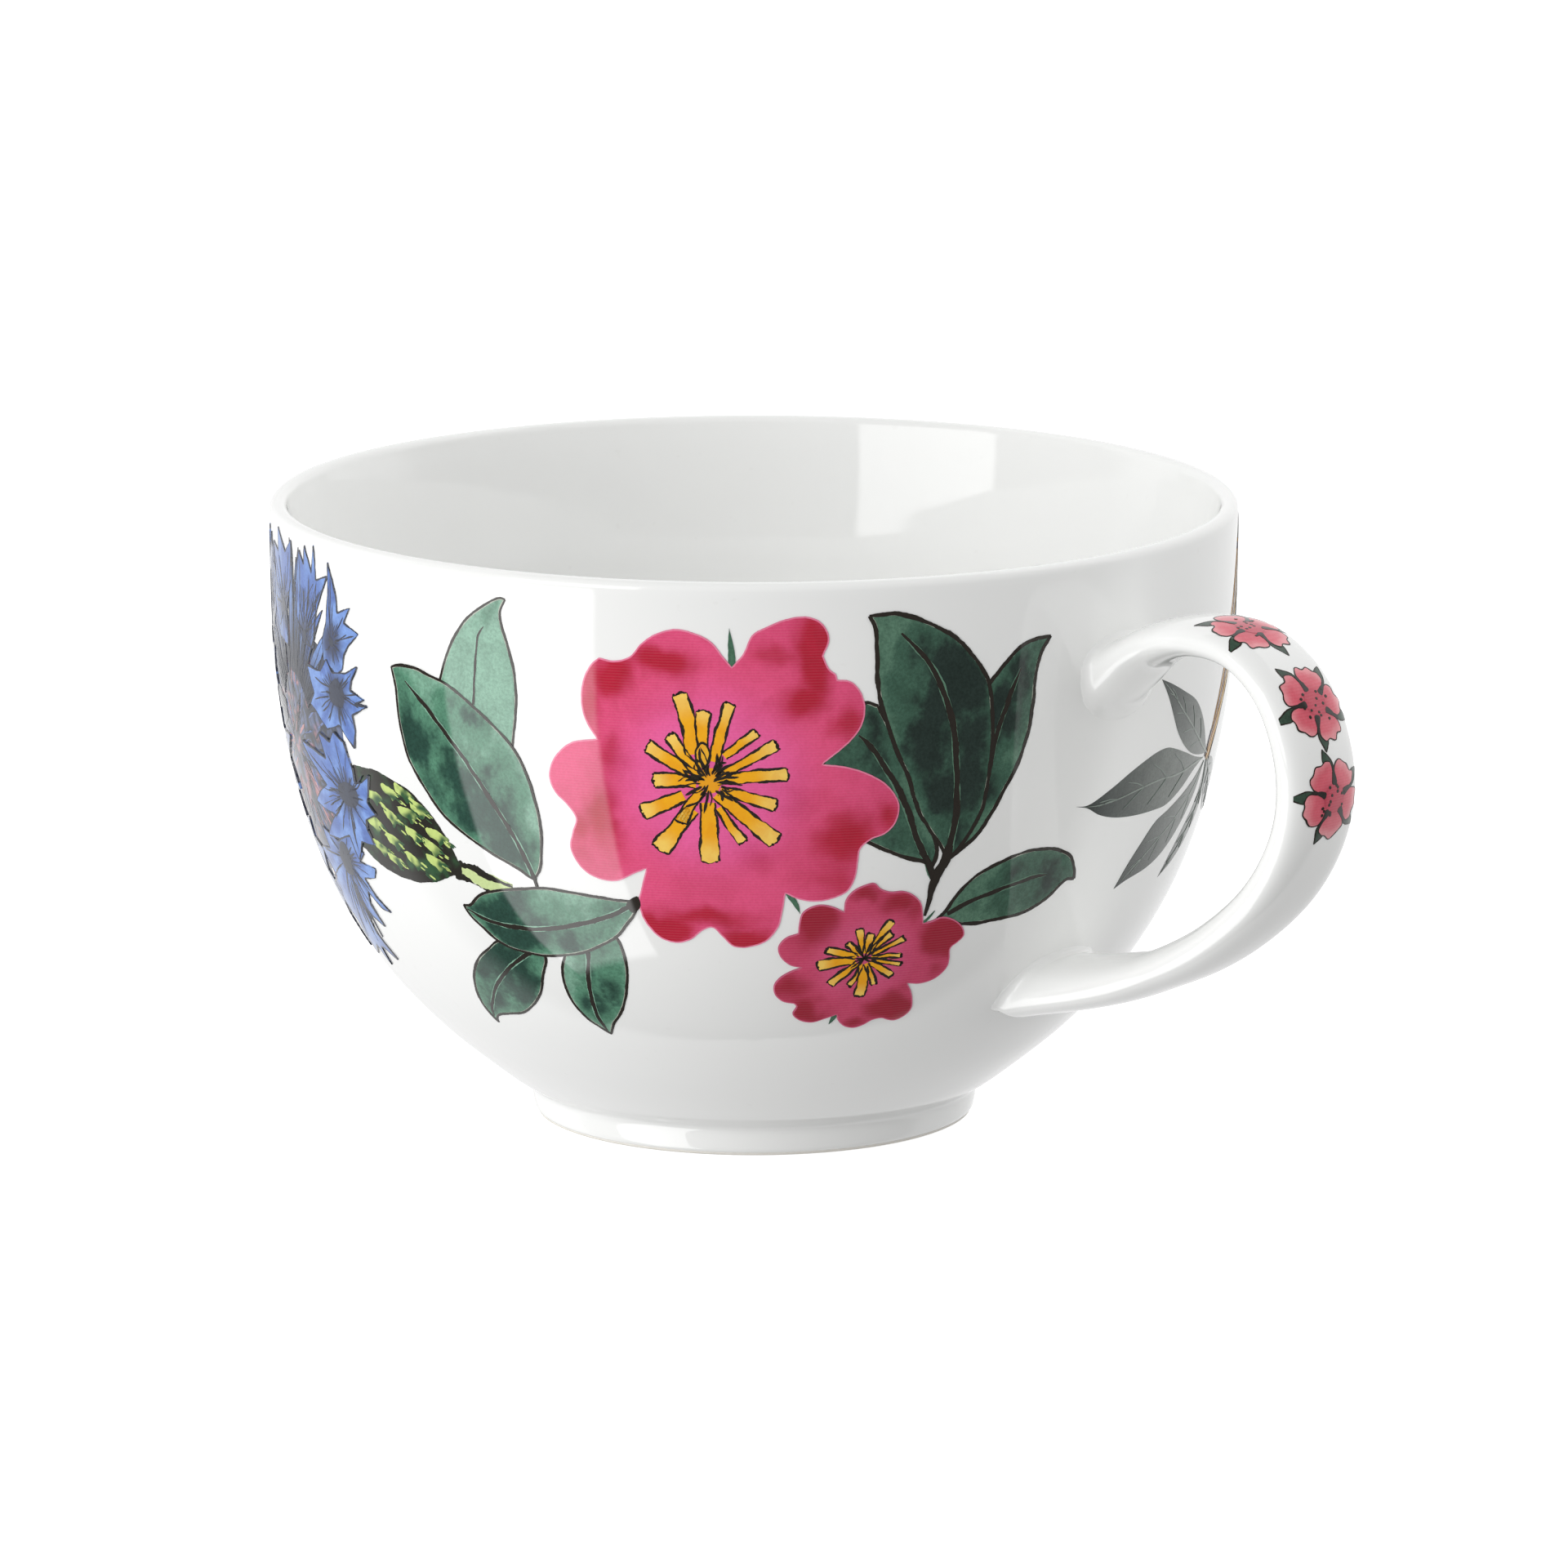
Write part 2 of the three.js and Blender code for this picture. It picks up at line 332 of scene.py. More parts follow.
class Print:
    """Closed thin films of enamel on one surface, gathered into one piece."""

    def __init__(self, place, middle, first_layer=0):
        self.place, self.middle, self.first_layer = place, middle, first_layer
        self.points, self.normals, self.tints = [], [], []
        self.faces, self.slots, self.materials = [], [], []
        self.count = 0

    def film(self, flat, triangles, layer, tint, material):
        """One film over these chart points. tint is one colour or one for each."""
        flat, triangles = np.array(flat, float), np.array(triangles, int)
        a, b, c = (flat[triangles[:, k]] for k in range(3))
        cross = (b - a)[:, 0] * (c - a)[:, 1] - (b - a)[:, 1] * (c - a)[:, 0]
        triangles = triangles[np.abs(cross) > 1e-7]
        cross = cross[np.abs(cross) > 1e-7]
        triangles[cross < 0] = triangles[cross < 0][:, ::-1]
        top, normal = self.place(flat, self.middle, FIRST_LIFT + (self.first_layer + layer) * FILM_STEP)
        low, _ = self.place(flat, self.middle, FILM_BASE)
        n = len(flat)
        edges = {}
        for tri in triangles:
            for u, v in ((tri[0], tri[1]), (tri[1], tri[2]), (tri[2], tri[0])):
                edges[(u, v)] = edges.get((u, v), 0) + 1
        walls = [e for e in edges if (e[1], e[0]) not in edges]
        base = self.count
        self.points += [top, low]
        self.normals += [normal, normal]
        tint = np.broadcast_to(np.asarray(tint, float), (n, 3))
        self.tints += [tint, tint]
        self.faces += (triangles + base).tolist()
        self.faces += (triangles[:, ::-1] + base + n).tolist()
        self.faces += [(base + u, base + n + u, base + n + v, base + v) for u, v in walls]
        if material not in self.materials:
            self.materials.append(material)
        slot = self.materials.index(material)
        self.slots += [slot] * (2 * len(triangles) + len(walls))
        self.count += 2 * n

    def fill(self, outline, layer, tint, material, grid=0.5):
        """A film inside a closed outline. tint may be a function of chart points."""
        outline = np.array(outline, float)
        keep = np.hypot(*(outline - np.roll(outline, 1, 0)).T) > 0.02
        outline = outline[keep]
        low, high = outline.min(0), outline.max(0)
        rows = np.arange(low[1], high[1], grid * 0.866)
        inner = []
        for k, y in enumerate(rows):
            x = np.arange(low[0] + (k % 2) * grid / 2, high[0], grid)
            inner.append(np.column_stack([x, np.full(len(x), y)]))
        inner = np.vstack(inner)
        a, b = outline, np.roll(outline, -1, 0)
        side = np.zeros(len(inner), bool)
        gap = np.full(len(inner), 1e9)
        for p, q in zip(a, b):
            across = (p[1] > inner[:, 1]) != (q[1] > inner[:, 1])
            with np.errstate(divide="ignore", invalid="ignore"):
                x = p[0] + (inner[:, 1] - p[1]) * (q[0] - p[0]) / (q[1] - p[1])
            side ^= across & (inner[:, 0] < x)
            d = q - p
            t = np.clip(((inner - p) @ d) / max(d @ d, 1e-12), 0, 1)
            gap = np.minimum(gap, np.hypot(*(inner - p - t[:, None] * d).T))
        inner = inner[side & (gap > grid * 0.45)]
        every = np.vstack([outline, inner])
        loop = list(range(len(outline)))
        flat, _, faces, *_ = delaunay_2d_cdt([Vector(p) for p in every], [], [loop], 1, 1e-6)
        flat = np.array([tuple(v) for v in flat])
        faces = [f for f in faces if len(f) == 3]
        if not faces:
            return
        colour = tint(flat) if callable(tint) else tint
        self.film(flat, faces, layer, colour, material)

    def stroke(self, line, width, layer, tint, material, rough=0.12, taper=(1, 1), step=0.2):
        """A drawn line with ragged sides. width is one number or one for each point."""
        line = even(np.array(line, float), step)
        n = len(line)
        share = np.linspace(0, 1, n)
        width = np.interp(share, np.linspace(0, 1, np.size(width)), np.atleast_1d(width))
        end = np.minimum(1, np.minimum(taper[0] + share * 6, taper[1] + (1 - share) * 6))
        across = sideways(line)
        left = line + across * (width * end * 0.5 * (1 + wander(n, rough)))[:, None]
        right = line - across * (width * end * 0.5 * (1 + wander(n, rough)))[:, None]
        flat = np.vstack([left, right])
        faces = []
        for i in range(n - 1):
            faces += [(n + i, n + i + 1, i + 1), (n + i, i + 1, i)]
        self.film(flat, faces, layer, tint, material)

    def dot(self, centre, size, layer, tint, material, sides=10):
        """A small uneven spot. size is its width."""
        turn = np.linspace(0, 2 * math.pi, sides, endpoint=False)
        reach = np.atleast_1d(size) / 2 * (1 + wander(sides, 0.1, 1))
        ring = np.column_stack([np.cos(turn), np.sin(turn)]) * reach[:, None]
        flat = np.vstack([[0, 0], ring]) + np.array(centre)
        faces = [(0, 1 + i, 1 + (i + 1) % sides) for i in range(sides)]
        self.film(flat, faces, layer, tint, material)

    def piece(self, name):
        """One object of all the films so far."""
        made = add_object(name, np.vstack(self.points), self.faces, self.materials,
                          self.slots, np.vstack(self.normals), np.vstack(self.tints))
        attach(made, "root")
        return made


# ---- materials ----


def new_material(name, roughness, ior=1.5):
    material = bpy.data.materials.new(name)
    material.use_nodes = True
    nodes = material.node_tree.nodes
    shader = nodes["Principled BSDF"]
    shader.inputs["Roughness"].default_value = roughness
    shader.inputs["IOR"].default_value = ior
    return material, nodes, material.node_tree.links, shader


def node(nodes, kind, **values):
    """A new node. Each value goes to the node's property or input of that name."""
    made = nodes.new(kind)
    for key, value in values.items():
        if hasattr(made, key):
            setattr(made, key, value)
        else:
            made.inputs[key.replace("_", " ")].default_value = value
    return made


def mix_colour(nodes, links, kind, share, first, second):
    """A Mix node on colours. Each of the three is a socket or a fixed value."""
    mix = nodes.new("ShaderNodeMix")
    mix.data_type, mix.blend_type = "RGBA", kind
    for socket, value in ((mix.inputs[0], share), (mix.inputs[6], first), (mix.inputs[7], second)):
        if isinstance(value, bpy.types.NodeSocket):
            links.new(value, socket)
        elif hasattr(value, "__len__"):
            socket.default_value = (*value, 1)
        else:
            socket.default_value = value
    return mix.outputs[2]


def ranged(nodes, links, value, low, high, to_low=0.0, to_high=1.0):
    """A value from low to high as one from to_low to to_high, clamped."""
    made = nodes.new("ShaderNodeMapRange")
    links.new(value, made.inputs["Value"])
    for key, number in (("From Min", low), ("From Max", high), ("To Min", to_low), ("To Max", to_high)):
        made.inputs[key].default_value = number
    return made.outputs["Result"]


def noise(nodes, links, place, scale, detail=3.0, roughness=0.55, distortion=0.0):
    made = node(nodes, "ShaderNodeTexNoise", Scale=scale, Detail=detail,
                Roughness=roughness, Distortion=distortion)
    links.new(place, made.inputs["Vector"])
    return made.outputs["Fac"]


def glaze_material():
    """White porcelain under a clear glaze: a hint of warm and cool, a faint ripple."""
    material, nodes, links, shader = new_material("white_glaze", 0.035, 1.52)
    place = node(nodes, "ShaderNodeTexCoord").outputs["Object"]
    cloud = noise(nodes, links, place, 26.0, 2.0)
    white = mix_colour(nodes, links, "MIX", cloud, rgb(243, 244, 243), rgb(247, 247, 245))
    speck = ranged(nodes, links, noise(nodes, links, place, 900.0, 1.0), 0.74, 0.8, 0.0, 0.05)
    white = mix_colour(nodes, links, "MULTIPLY", speck, white, rgb(200, 196, 188))
    links.new(white, shader.inputs["Base Color"])
    bump = node(nodes, "ShaderNodeBump", Strength=0.05, Distance=0.0004)
    links.new(noise(nodes, links, place, 95.0, 1.0), bump.inputs["Height"])
    links.new(bump.outputs["Normal"], shader.inputs["Normal"])
    return material


def bare_material():
    """Ground unglazed porcelain: matt, with fine grit."""
    material, nodes, links, shader = new_material("bare_porcelain", 0.62, 1.5)
    place = node(nodes, "ShaderNodeTexCoord").outputs["Object"]
    grit = noise(nodes, links, place, 2600.0, 3.0)
    links.new(mix_colour(nodes, links, "MIX", grit, rgb(222, 218, 209), rgb(240, 237, 230)),
              shader.inputs["Base Color"])
    bump = node(nodes, "ShaderNodeBump", Strength=0.35, Distance=0.00005)
    links.new(grit, bump.inputs["Height"])
    links.new(bump.outputs["Normal"], shader.inputs["Normal"])
    return material


def enamel(name, wash=0.0, wash_size=3.0, grain=0.0, screen=0.0, dark=(0.3, 0.3, 0.3)):
    """Enamel fired into the glaze. Its drawn colour is the tint attribute; over it
    come soft pools of stronger colour, a fine grain and the print's line screen."""
    material, nodes, links, shader = new_material(name, 0.05, 1.5)
    place = node(nodes, "ShaderNodeTexCoord").outputs["Object"]
    colour = node(nodes, "ShaderNodeAttribute", attribute_name="tint").outputs["Color"]
    if wash:
        pools = noise(nodes, links, place, 1000.0 / wash_size, 3.0, 0.5, 0.6)
        pools = ranged(nodes, links, pools, 0.42, 0.62, 0.0, wash)
        colour = mix_colour(nodes, links, "MULTIPLY", pools, colour, dark)
    if grain:
        fine = noise(nodes, links, place, 3300.0, 2.0, 0.7)
        fine = ranged(nodes, links, fine, 0.38, 0.64, 0.0, grain)
        colour = mix_colour(nodes, links, "MULTIPLY", fine, colour, dark)
    if screen:
        bands = node(nodes, "ShaderNodeTexWave", bands_direction="Z", Scale=1100.0,
                     Distortion=0.6, Detail=1.0)
        links.new(place, bands.inputs["Vector"])
        lines = ranged(nodes, links, bands.outputs["Fac"], 0.0, 1.0, 0.0, screen)
        colour = mix_colour(nodes, links, "SCREEN", lines, colour, (0.55, 0.42, 0.45))
    links.new(colour, shader.inputs["Base Color"])
    bump = node(nodes, "ShaderNodeBump", Strength=0.04, Distance=0.0001)
    links.new(noise(nodes, links, place, 260.0, 2.0), bump.inputs["Height"])
    links.new(bump.outputs["Normal"], shader.inputs["Normal"])
    return material


GLAZE = glaze_material()
BARE = bare_material()
PETAL = enamel("petal_enamel", wash=0.18, wash_size=5.0, grain=0.14, screen=0.06,
               dark=(0.55, 0.16, 0.22))
LEAF = enamel("leaf_enamel", wash=0.25, wash_size=2.2, grain=0.4, dark=(0.3, 0.36, 0.34))
PLAIN = enamel("line_enamel", grain=0.15, dark=(0.5, 0.5, 0.5))
BLUE = enamel("blue_enamel", wash=0.35, wash_size=1.4, grain=0.25, dark=(0.35, 0.42, 0.55))
GOLD = enamel("yellow_enamel", wash=0.22, wash_size=1.6, grain=0.08, dark=(0.85, 0.5, 0.3))

INK = rgb(46, 40, 34)
CREAM = rgb(186, 194, 178)

# ---- the cup ----


def inner_wall():
    """The inside of the bowl, from near the floor up to the lip."""
    table = np.array(WALL)
    thick = softened(np.interp(T_WALL, table[:, 0], table[:, 1]), 60)
    thick = np.where(T_WALL > 0.97, np.interp(T_WALL, table[:, 0], table[:, 1]), thick)
    return OUTER - OUTWARD * thick[:, None]


def bowl_piece():
    """The glazed bowl and foot, turned from one closed profile."""
    outer = even(OUTER[CLIMB > 0.55], 0.8)
    turn = np.linspace(0, math.pi, 13)[1:-1]
    lip = np.column_stack([50.0 - LIP_ROUND + LIP_ROUND * np.cos(turn),
                           HEIGHT - LIP_ROUND + LIP_ROUND * np.sin(turn)])
    inside = even(inner_wall()[::-1][T_WALL[::-1] > INSIDE_START], 0.8)
    floor = smooth([*inside[-3:], [20.6, 6.9], [16.0, 6.5], [10.0, 6.2], [4.0, 6.02],
                    [0.0, BOWL_FLOOR]], 0.9)
    foot_in = smooth([[19.2, 3.05], [20.2, 2.75], [20.55, 2.1], [20.8, 1.2], [21.0, 0.7],
                      [21.22, 0.36]], 0.25)
    foot_out = smooth([[22.66, 0.3], [22.86, 0.55], [22.98, 1.0], [23.12, 1.8], [23.22, 2.5],
                       [23.42, 2.98], [24.0, 3.45]], 0.25)
    underside = [[0.0, 3.0], [0.6, 3.0], [10.0, 3.02]]
    profile = np.vstack([underside, foot_in, foot_out, outer[2:], lip, inside[:-3], floor])
    profile[-1] = [0.0, BOWL_FLOOR]
    body = turned("glazed_bowl", profile, GLAZE)
    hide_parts("bowl")
    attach(body, "root")


def foot_rest_piece():
    """The bare edge of the foot that the cup stands on."""
    rest = turned("bare_foot_rest", [[21.3, 0.75], [21.2, 0.35], [21.32, 0.1], [21.5, 0.0],
                                     [22.4, 0.0], [22.58, 0.08], [22.68, 0.32], [22.6, 0.75]],
                  BARE)
    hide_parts("foot_ring")
    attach(rest, "root")


def wall_gap(points):
    """Distance of points outside the wall, and the wall's outward direction there."""
    offset = points[:, :2] - np.array([AXIS_X, 0])
    radius = np.hypot(*offset.T)
    z = points[:, 2]
    order = OUTER[:, 1]
    r, nr, nz = (np.interp(z, order, v) for v in (OUTER[:, 0], *OUTWARD.T))
    normal = np.column_stack([nr * offset[:, 0] / radius, nr * offset[:, 1] / radius, nz])
    return (radius - r) * nr, normal


def into_wall(path, sunk):
    """The stretch of a path that is outside the wall, from just inside it to just
    inside it again. An end that stops short turns straight in to the wall."""
    gap, _ = wall_gap(path)
    middle = len(gap) // 2
    for _ in range(2):
        inside = np.flatnonzero(gap[middle:] < -sunk)
        if len(inside):
            path, gap = path[:middle + inside[0] + 1], gap[:middle + inside[0] + 1]
        else:
            _, wall = wall_gap(path[-1:])
            reach = np.arange(0.05, gap[-1] + sunk + 0.05, 0.1)[:, None]
            path = np.vstack([path, path[-1:] - wall * reach])
            gap = wall_gap(path)[0]
        path, gap = path[::-1], gap[::-1]
        middle = len(gap) // 2
    return path


def stepped(path, share):
    """The path at fractions of its own length, its corners eased."""
    run = np.r_[0, np.cumsum(np.linalg.norm(np.diff(path, axis=0), axis=1))]
    fine = np.linspace(0, run[-1], 1200)
    path = np.column_stack([softened(np.interp(fine, run, path[:, k]), 9) for k in range(3)])
    at = share * (len(fine) - 1)
    return np.column_stack([np.interp(at, np.arange(len(fine)), path[:, k]) for k in range(3)])


def handle_piece(around=72, along=280, sunk=0.4, fillet=0.9):
    """A strap swept along the handle's line. Each of its long lines starts just
    inside the wall, and near the wall it spreads in a small round fillet."""
    turn = np.linspace(0, 2 * math.pi, around, endpoint=False)
    power = 2 / STRAP_SQUARENESS
    out = np.sign(np.cos(turn)) * np.abs(np.cos(turn)) ** power
    side = np.sign(np.sin(turn)) * np.abs(np.sin(turn)) ** power
    share = np.linspace(-1, 1, along)
    share = 0.5 + 0.5 * np.sign(share) * (1 - (1 - np.abs(share)) ** 1.6)
    middle, _ = strap_point(T_STRAP, np.zeros_like(T_STRAP), np.zeros_like(T_STRAP))
    middle = stepped(into_wall(middle, sunk), share)
    lines = []
    for o, s in zip(out, side):
        path, _ = strap_point(T_STRAP, np.full_like(T_STRAP, o), np.full_like(T_STRAP, s))
        point = stepped(into_wall(path, sunk), share)
        gap, wall = wall_gap(point)
        near = np.clip(gap, 0, fillet)
        spread = fillet - np.sqrt(np.maximum(fillet**2 - (fillet - near) ** 2, 0))
        away = point - middle
        flat = unit(away - wall * np.sum(away * wall, 1)[:, None])
        lines.append(point + flat * spread[:, None])
    points = np.array(lines).transpose(1, 0, 2).reshape(-1, 3)
    faces = []
    for k in range(along - 1):
        for i in range(around):
            j = (i + 1) % around
            faces.append((k * around + i, (k + 1) * around + i, (k + 1) * around + j, k * around + j))
    ends = [points[:around].mean(0), points[-around:].mean(0)]
    top, start = len(points), (along - 1) * around
    for i in range(around):
        j = (i + 1) % around
        faces += [(top, i, j), (top + 1, start + j, start + i)]
    strap = add_object("strap_handle", np.vstack([points, ends]), faces, [GLAZE])
    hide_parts("handle", "upper_slip_joint", "lower_slip_joint")
    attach(strap, "root")


# ---- flowers ----

# The azimuth of the middle of each group's chart.
CHART = {"blue_flower": -152, "seed_head": -140, "left_leaves": -125, "low_left_leaves": -118,
         "camellia": -96, "blossom": -81, "right_leaves": -66, "low_right_leaf": -58,
         "spray_with_painted_reflection": -28}
# The first layer of each flower is above the leaves that it covers.
CAMELLIA_LAYER, BLOSSOM_LAYER = 5, 8


def lobed(lobes, step=0.25):
    """A closed outline of curved lobes, with a corner wherever one ends."""
    return np.vstack([smooth(lobe, step)[:-1] if len(lobe) > 2 else np.array(lobe, float)[:-1]
                      for lobe in lobes])


def blots(flat, spots):
    """How much strong colour has pooled at chart points: x, s, width, height, depth."""
    pooled = np.zeros(len(flat))
    bent = flat + 2.4 * np.column_stack([cloudy(flat, 2.6, 61), cloudy(flat, 2.6, 67)]) - 1.2
    for x, s, wide, tall, depth in spots:
        q = ((bent[:, 0] - x) / wide) ** 2 + ((bent[:, 1] - s) / tall) ** 2
        pooled = np.maximum(pooled, depth * np.exp(-0.7 * q))
    return pooled


def petal_tint(light, strong, spots, seed, pale_middle):
    """Watercolour from light to strong, with a paler middle: x, s, reach, colour."""
    x, s, reach, pale = pale_middle

    def tint(flat):
        depth = blots(flat, spots)
        depth = depth * 1.12 + 0.55 * (cloudy(flat, 4.2, seed) - 0.5)
        colour = mixed(light, strong, step01(depth, 0.05, 0.8))
        near = np.hypot(flat[:, 0] - x, flat[:, 1] - s)
        return mixed(colour, pale, 0.8 * (1 - step01(near, reach * 0.5, reach * 1.3)))
    return tint


def stamen(ink, tip, root, width, layer):
    """A yellow bar drawn with a broken ink line round it and dark specks at its tip."""
    tip, root = np.array(tip, float), np.array(root, float)
    way = (root - tip) / np.hypot(*(root - tip))
    across = np.array([-way[1], way[0]])
    middle = (tip + root) / 2 + across * rng.normal() * 0.12
    line = smooth([tip, middle, root], 0.2)
    deep, pale = rgb(248, 178, 30), rgb(252, 212, 104)
    share = np.linspace(0, 1, len(line))
    wide = width * (1.12 - 0.3 * share) * (1 + wander(len(line), 0.05))
    side = sideways(line)
    left, right = line + side * wide[:, None] / 2, line - side * wide[:, None] / 2
    crown = tip - way * width * 0.16 + across * rng.normal() * 0.1
    outline = np.vstack([left[::-1], crown[None], right])

    def tint(flat):
        at = np.hypot(*(flat - tip).T) / np.hypot(*(root - tip))
        return mixed(pale, deep, step01(at, 0.05, 0.5))

    ink.fill(outline, layer, tint, GOLD, 0.35)
    for edge in (left, right):
        ink.stroke(edge, 0.2, layer + 1, INK, PLAIN, 0.45, (0.6, 0.5), 0.14)
    cap = np.vstack([left[0], crown, right[0]])
    ink.stroke(even(cap, 0.12), 0.18, layer + 1, INK, PLAIN, 0.5, (0.5, 0.5), 0.1)
    for _ in range(4):
        spot = left[0] + (right[0] - left[0]) * rng.random() - way * (0.05 + 0.1 * rng.random())
        ink.dot(spot, 0.12 + 0.2 * rng.random(), layer + 1, INK, PLAIN, 7)


# Outlines are lists of petal lobes, each a list of (x, s). Blots are (x, s, width,
# height, depth). A camellia stamen is (tip, root, width), a blossom stamen (x, s, width).
CAMELLIA_CENTRE = (0.8, 50.7)
CAMELLIA_LOBES = [
    [(3, 62.5), (4.1, 63.8), (5, 65.7), (6.4, 66.5), (8, 67.2), (10.3, 67.6),
     (11.9, 66.9), (12.7, 65.2), (12.1, 63.5)],
    [(12.1, 63.5), (12.7, 62.2), (13.3, 61.7), (13.5, 61.1)],
    [(13.5, 61.1), (14.8, 60.9), (15.8, 59.9), (16.3, 58.1), (15.9, 56.2), (14.7, 54.7),
     (12, 52.5)],
    [(12, 52.5), (14, 52.2), (16.6, 51.3), (18.6, 49.9), (19.7, 47.9), (19.4, 46),
     (18.1, 44.7), (16.9, 44.3), (15.7, 43.3), (15.4, 41.8), (15.1, 40.2), (14.2, 38.6),
     (12.5, 37.8), (10.7, 37.6), (9.2, 38), (8, 38.6)],
    [(8, 38.6), (7.7, 36.7), (7.1, 34.6), (5.8, 33), (4.1, 32.3), (2.6, 32.4),
     (1.5, 33.6), (0.6, 34.6), (-0.4, 34.2), (-1.6, 33.1), (-3, 32.7), (-4.7, 33.2),
     (-6.1, 34.8), (-6.8, 37), (-6.5, 38.9), (-5.9, 41.1)],
    [(-5.9, 41.1), (-7.2, 40.4), (-8.8, 39.6), (-10.6, 39.6), (-12.5, 40.6), (-13.8, 42.8),
     (-13.5, 44.6), (-13.1, 46.1), (-14, 47.5), (-15.4, 48.9), (-15.9, 50.5),
     (-15.1, 52.7), (-13.4, 54.2), (-10.7, 54.7)],
    [(-10.7, 54.7), (-11.8, 56.4), (-12.3, 58.3), (-12.1, 60.6), (-11.3, 62.2), (-10.4, 63)],
    [(-10.4, 63), (-8.7, 62.8), (-7.2, 63.3), (-6.1, 64.6), (-4.6, 65.7), (-2.5, 66.2),
     (-0.5, 65.8), (1.1, 64.9), (2.2, 63.5), (3, 62.5)]]
CAMELLIA_BLOTS = [
    (-4, 62.8, 3.4, 1.5, 0.8), (-9.3, 61.5, 2.6, 2.2, 0.8), (7.5, 63.6, 3.2, 1.6, 0.6),
    (11.3, 63.2, 1.8, 4.2, 0.85), (10.3, 58.7, 2.4, 1.8, 0.75), (14.3, 56.6, 1.8, 1.6, 0.6),
    (-9, 52.8, 2.2, 2.2, 0.6), (-10.2, 47, 1.6, 4, 0.7), (-12.5, 45, 2, 2, 0.5),
    (-4.6, 34.2, 3, 1.7, 0.95), (0, 35.6, 5.5, 1.3, 0.7), (4.2, 33.3, 2.6, 1.5, 1),
    (14.3, 44.3, 2.6, 2.8, 0.7), (10.5, 49, 4, 2, 0.35), (5, 43, 1.8, 1.6, 0.4),
    (18.6, 46.6, 1.5, 1.8, 0.6), (12.5, 40, 3, 2.5, 0.3), (-11.5, 58.5, 1.2, 3.5, 0.5)]
CAMELLIA_STAMENS = [
    ((-2.2, 59.6), (-1, 53.5), 1.5), ((0.2, 57.9), (0.1, 54.3), 1.35),
    ((2.8, 58.7), (1.2, 52.8), 1.15), ((5.4, 55.8), (2.2, 53.4), 0.9),
    ((7.3, 54.6), (1.8, 51.5), 1), ((8.4, 51.5), (1.5, 50.9), 1.25),
    ((7.2, 48.3), (1.8, 49.9), 1.1), ((7.1, 44.5), (1.5, 49.5), 1.6),
    ((3.9, 44.4), (1.6, 48), 0.9), ((0.6, 42.2), (0.5, 48.5), 1.8),
    ((-4.3, 43.4), (-1, 47.8), 1.7), ((-2.2, 46.4), (0, 49.8), 1.1),
    ((-6, 47.3), (-1.9, 49.2), 1.4), ((-4.8, 50.7), (-0.6, 50.6), 1.4),
    ((-5.4, 54.2), (-1.2, 51.6), 1.3), ((-3.2, 55.4), (0, 51), 1.1)]
BLOSSOM_LOBES = [
    [(1.8, 36.3), (1.9, 37.6), (2.6, 38.6), (3.7, 39.2), (4.8, 39.4), (5.5, 38.7),
     (6.6, 38.3), (7.8, 38.3), (8.9, 37.8), (9.8, 36.8), (10.1, 35.4), (10.2, 34.4)],
    [(10.2, 34.4), (11, 34.5), (12.2, 34.9), (13.5, 34.5), (14.6, 33.5), (14.9, 32.4),
     (14.2, 31.6), (13.5, 31), (13.5, 29.6), (13.3, 28.5), (12.1, 27.2), (10.5, 26.7),
     (9.1, 26.9)],
    [(9.1, 26.9), (9.6, 25.8), (9.9, 24.5), (9.9, 23.2), (9.2, 22.2), (8.2, 21.7),
     (7.4, 21.9), (6.8, 22.2), (5.8, 22), (5, 21.4), (4, 21), (3, 21.3),
     (2.2, 22.3), (2, 23.1)],
    [(2, 23.1), (0.9, 22.6), (-0.4, 22.1), (-1.6, 22.4), (-2.5, 23.4), (-2.2, 24.5),
     (-2.5, 24.9)],
    [(-2.5, 24.9), (-3.6, 25.2), (-4.5, 26.2), (-4.7, 27.4), (-4.2, 28.4), (-3.2, 29.2),
     (-2.1, 29.7)],
    [(-2.1, 29.7), (-3.2, 30), (-4.3, 31.1), (-4.6, 32.3), (-3.9, 33.4), (-2.7, 33.9)],
    [(-2.7, 33.9), (-2.65, 35.2), (-2.4, 36.3), (-1.7, 36.9), (-0.6, 37.2), (0.7, 36.9),
     (1.8, 36.3)]]
BLOSSOM_BLOTS = [
    (-1.2, 35.4, 2.2, 3, 1), (3.9, 38.4, 1.8, 1, 0.7), (7.6, 37, 2.2, 1.6, 0.85),
    (12.6, 32.6, 2.2, 2.4, 0.95), (-3, 27, 1.8, 1.8, 0.6), (-1.3, 23.6, 2, 1.4, 0.8),
    (7.6, 23.6, 2.4, 1.8, 0.9), (4, 21.8, 1.8, 0.9, 0.7), (12, 28.4, 1.8, 1.4, 0.6),
    (9.5, 36, 1.2, 2, 0.6), (8.5, 26.6, 1.2, 1.5, 0.4)]
BLOSSOM_CENTRE = (4.2, 30.6)
BLOSSOM_STAMENS = [
    (0.3, 31.8, 0.8), (2.4, 32.5, 0.7), (3.5, 34.1, 0.7), (4.7, 33.5, 0.7), (6.8, 34.9, 0.7),
    (6.9, 33.4, 0.6), (8.2, 32.7, 0.6), (8, 30.7, 0.5), (8.1, 29.6, 0.5), (7.2, 28.2, 0.7),
    (5.5, 27.2, 0.6), (4.1, 25.7, 1), (2.9, 27.2, 0.5), (1, 27.5, 0.8), (-0.4, 29.9, 1.1)]


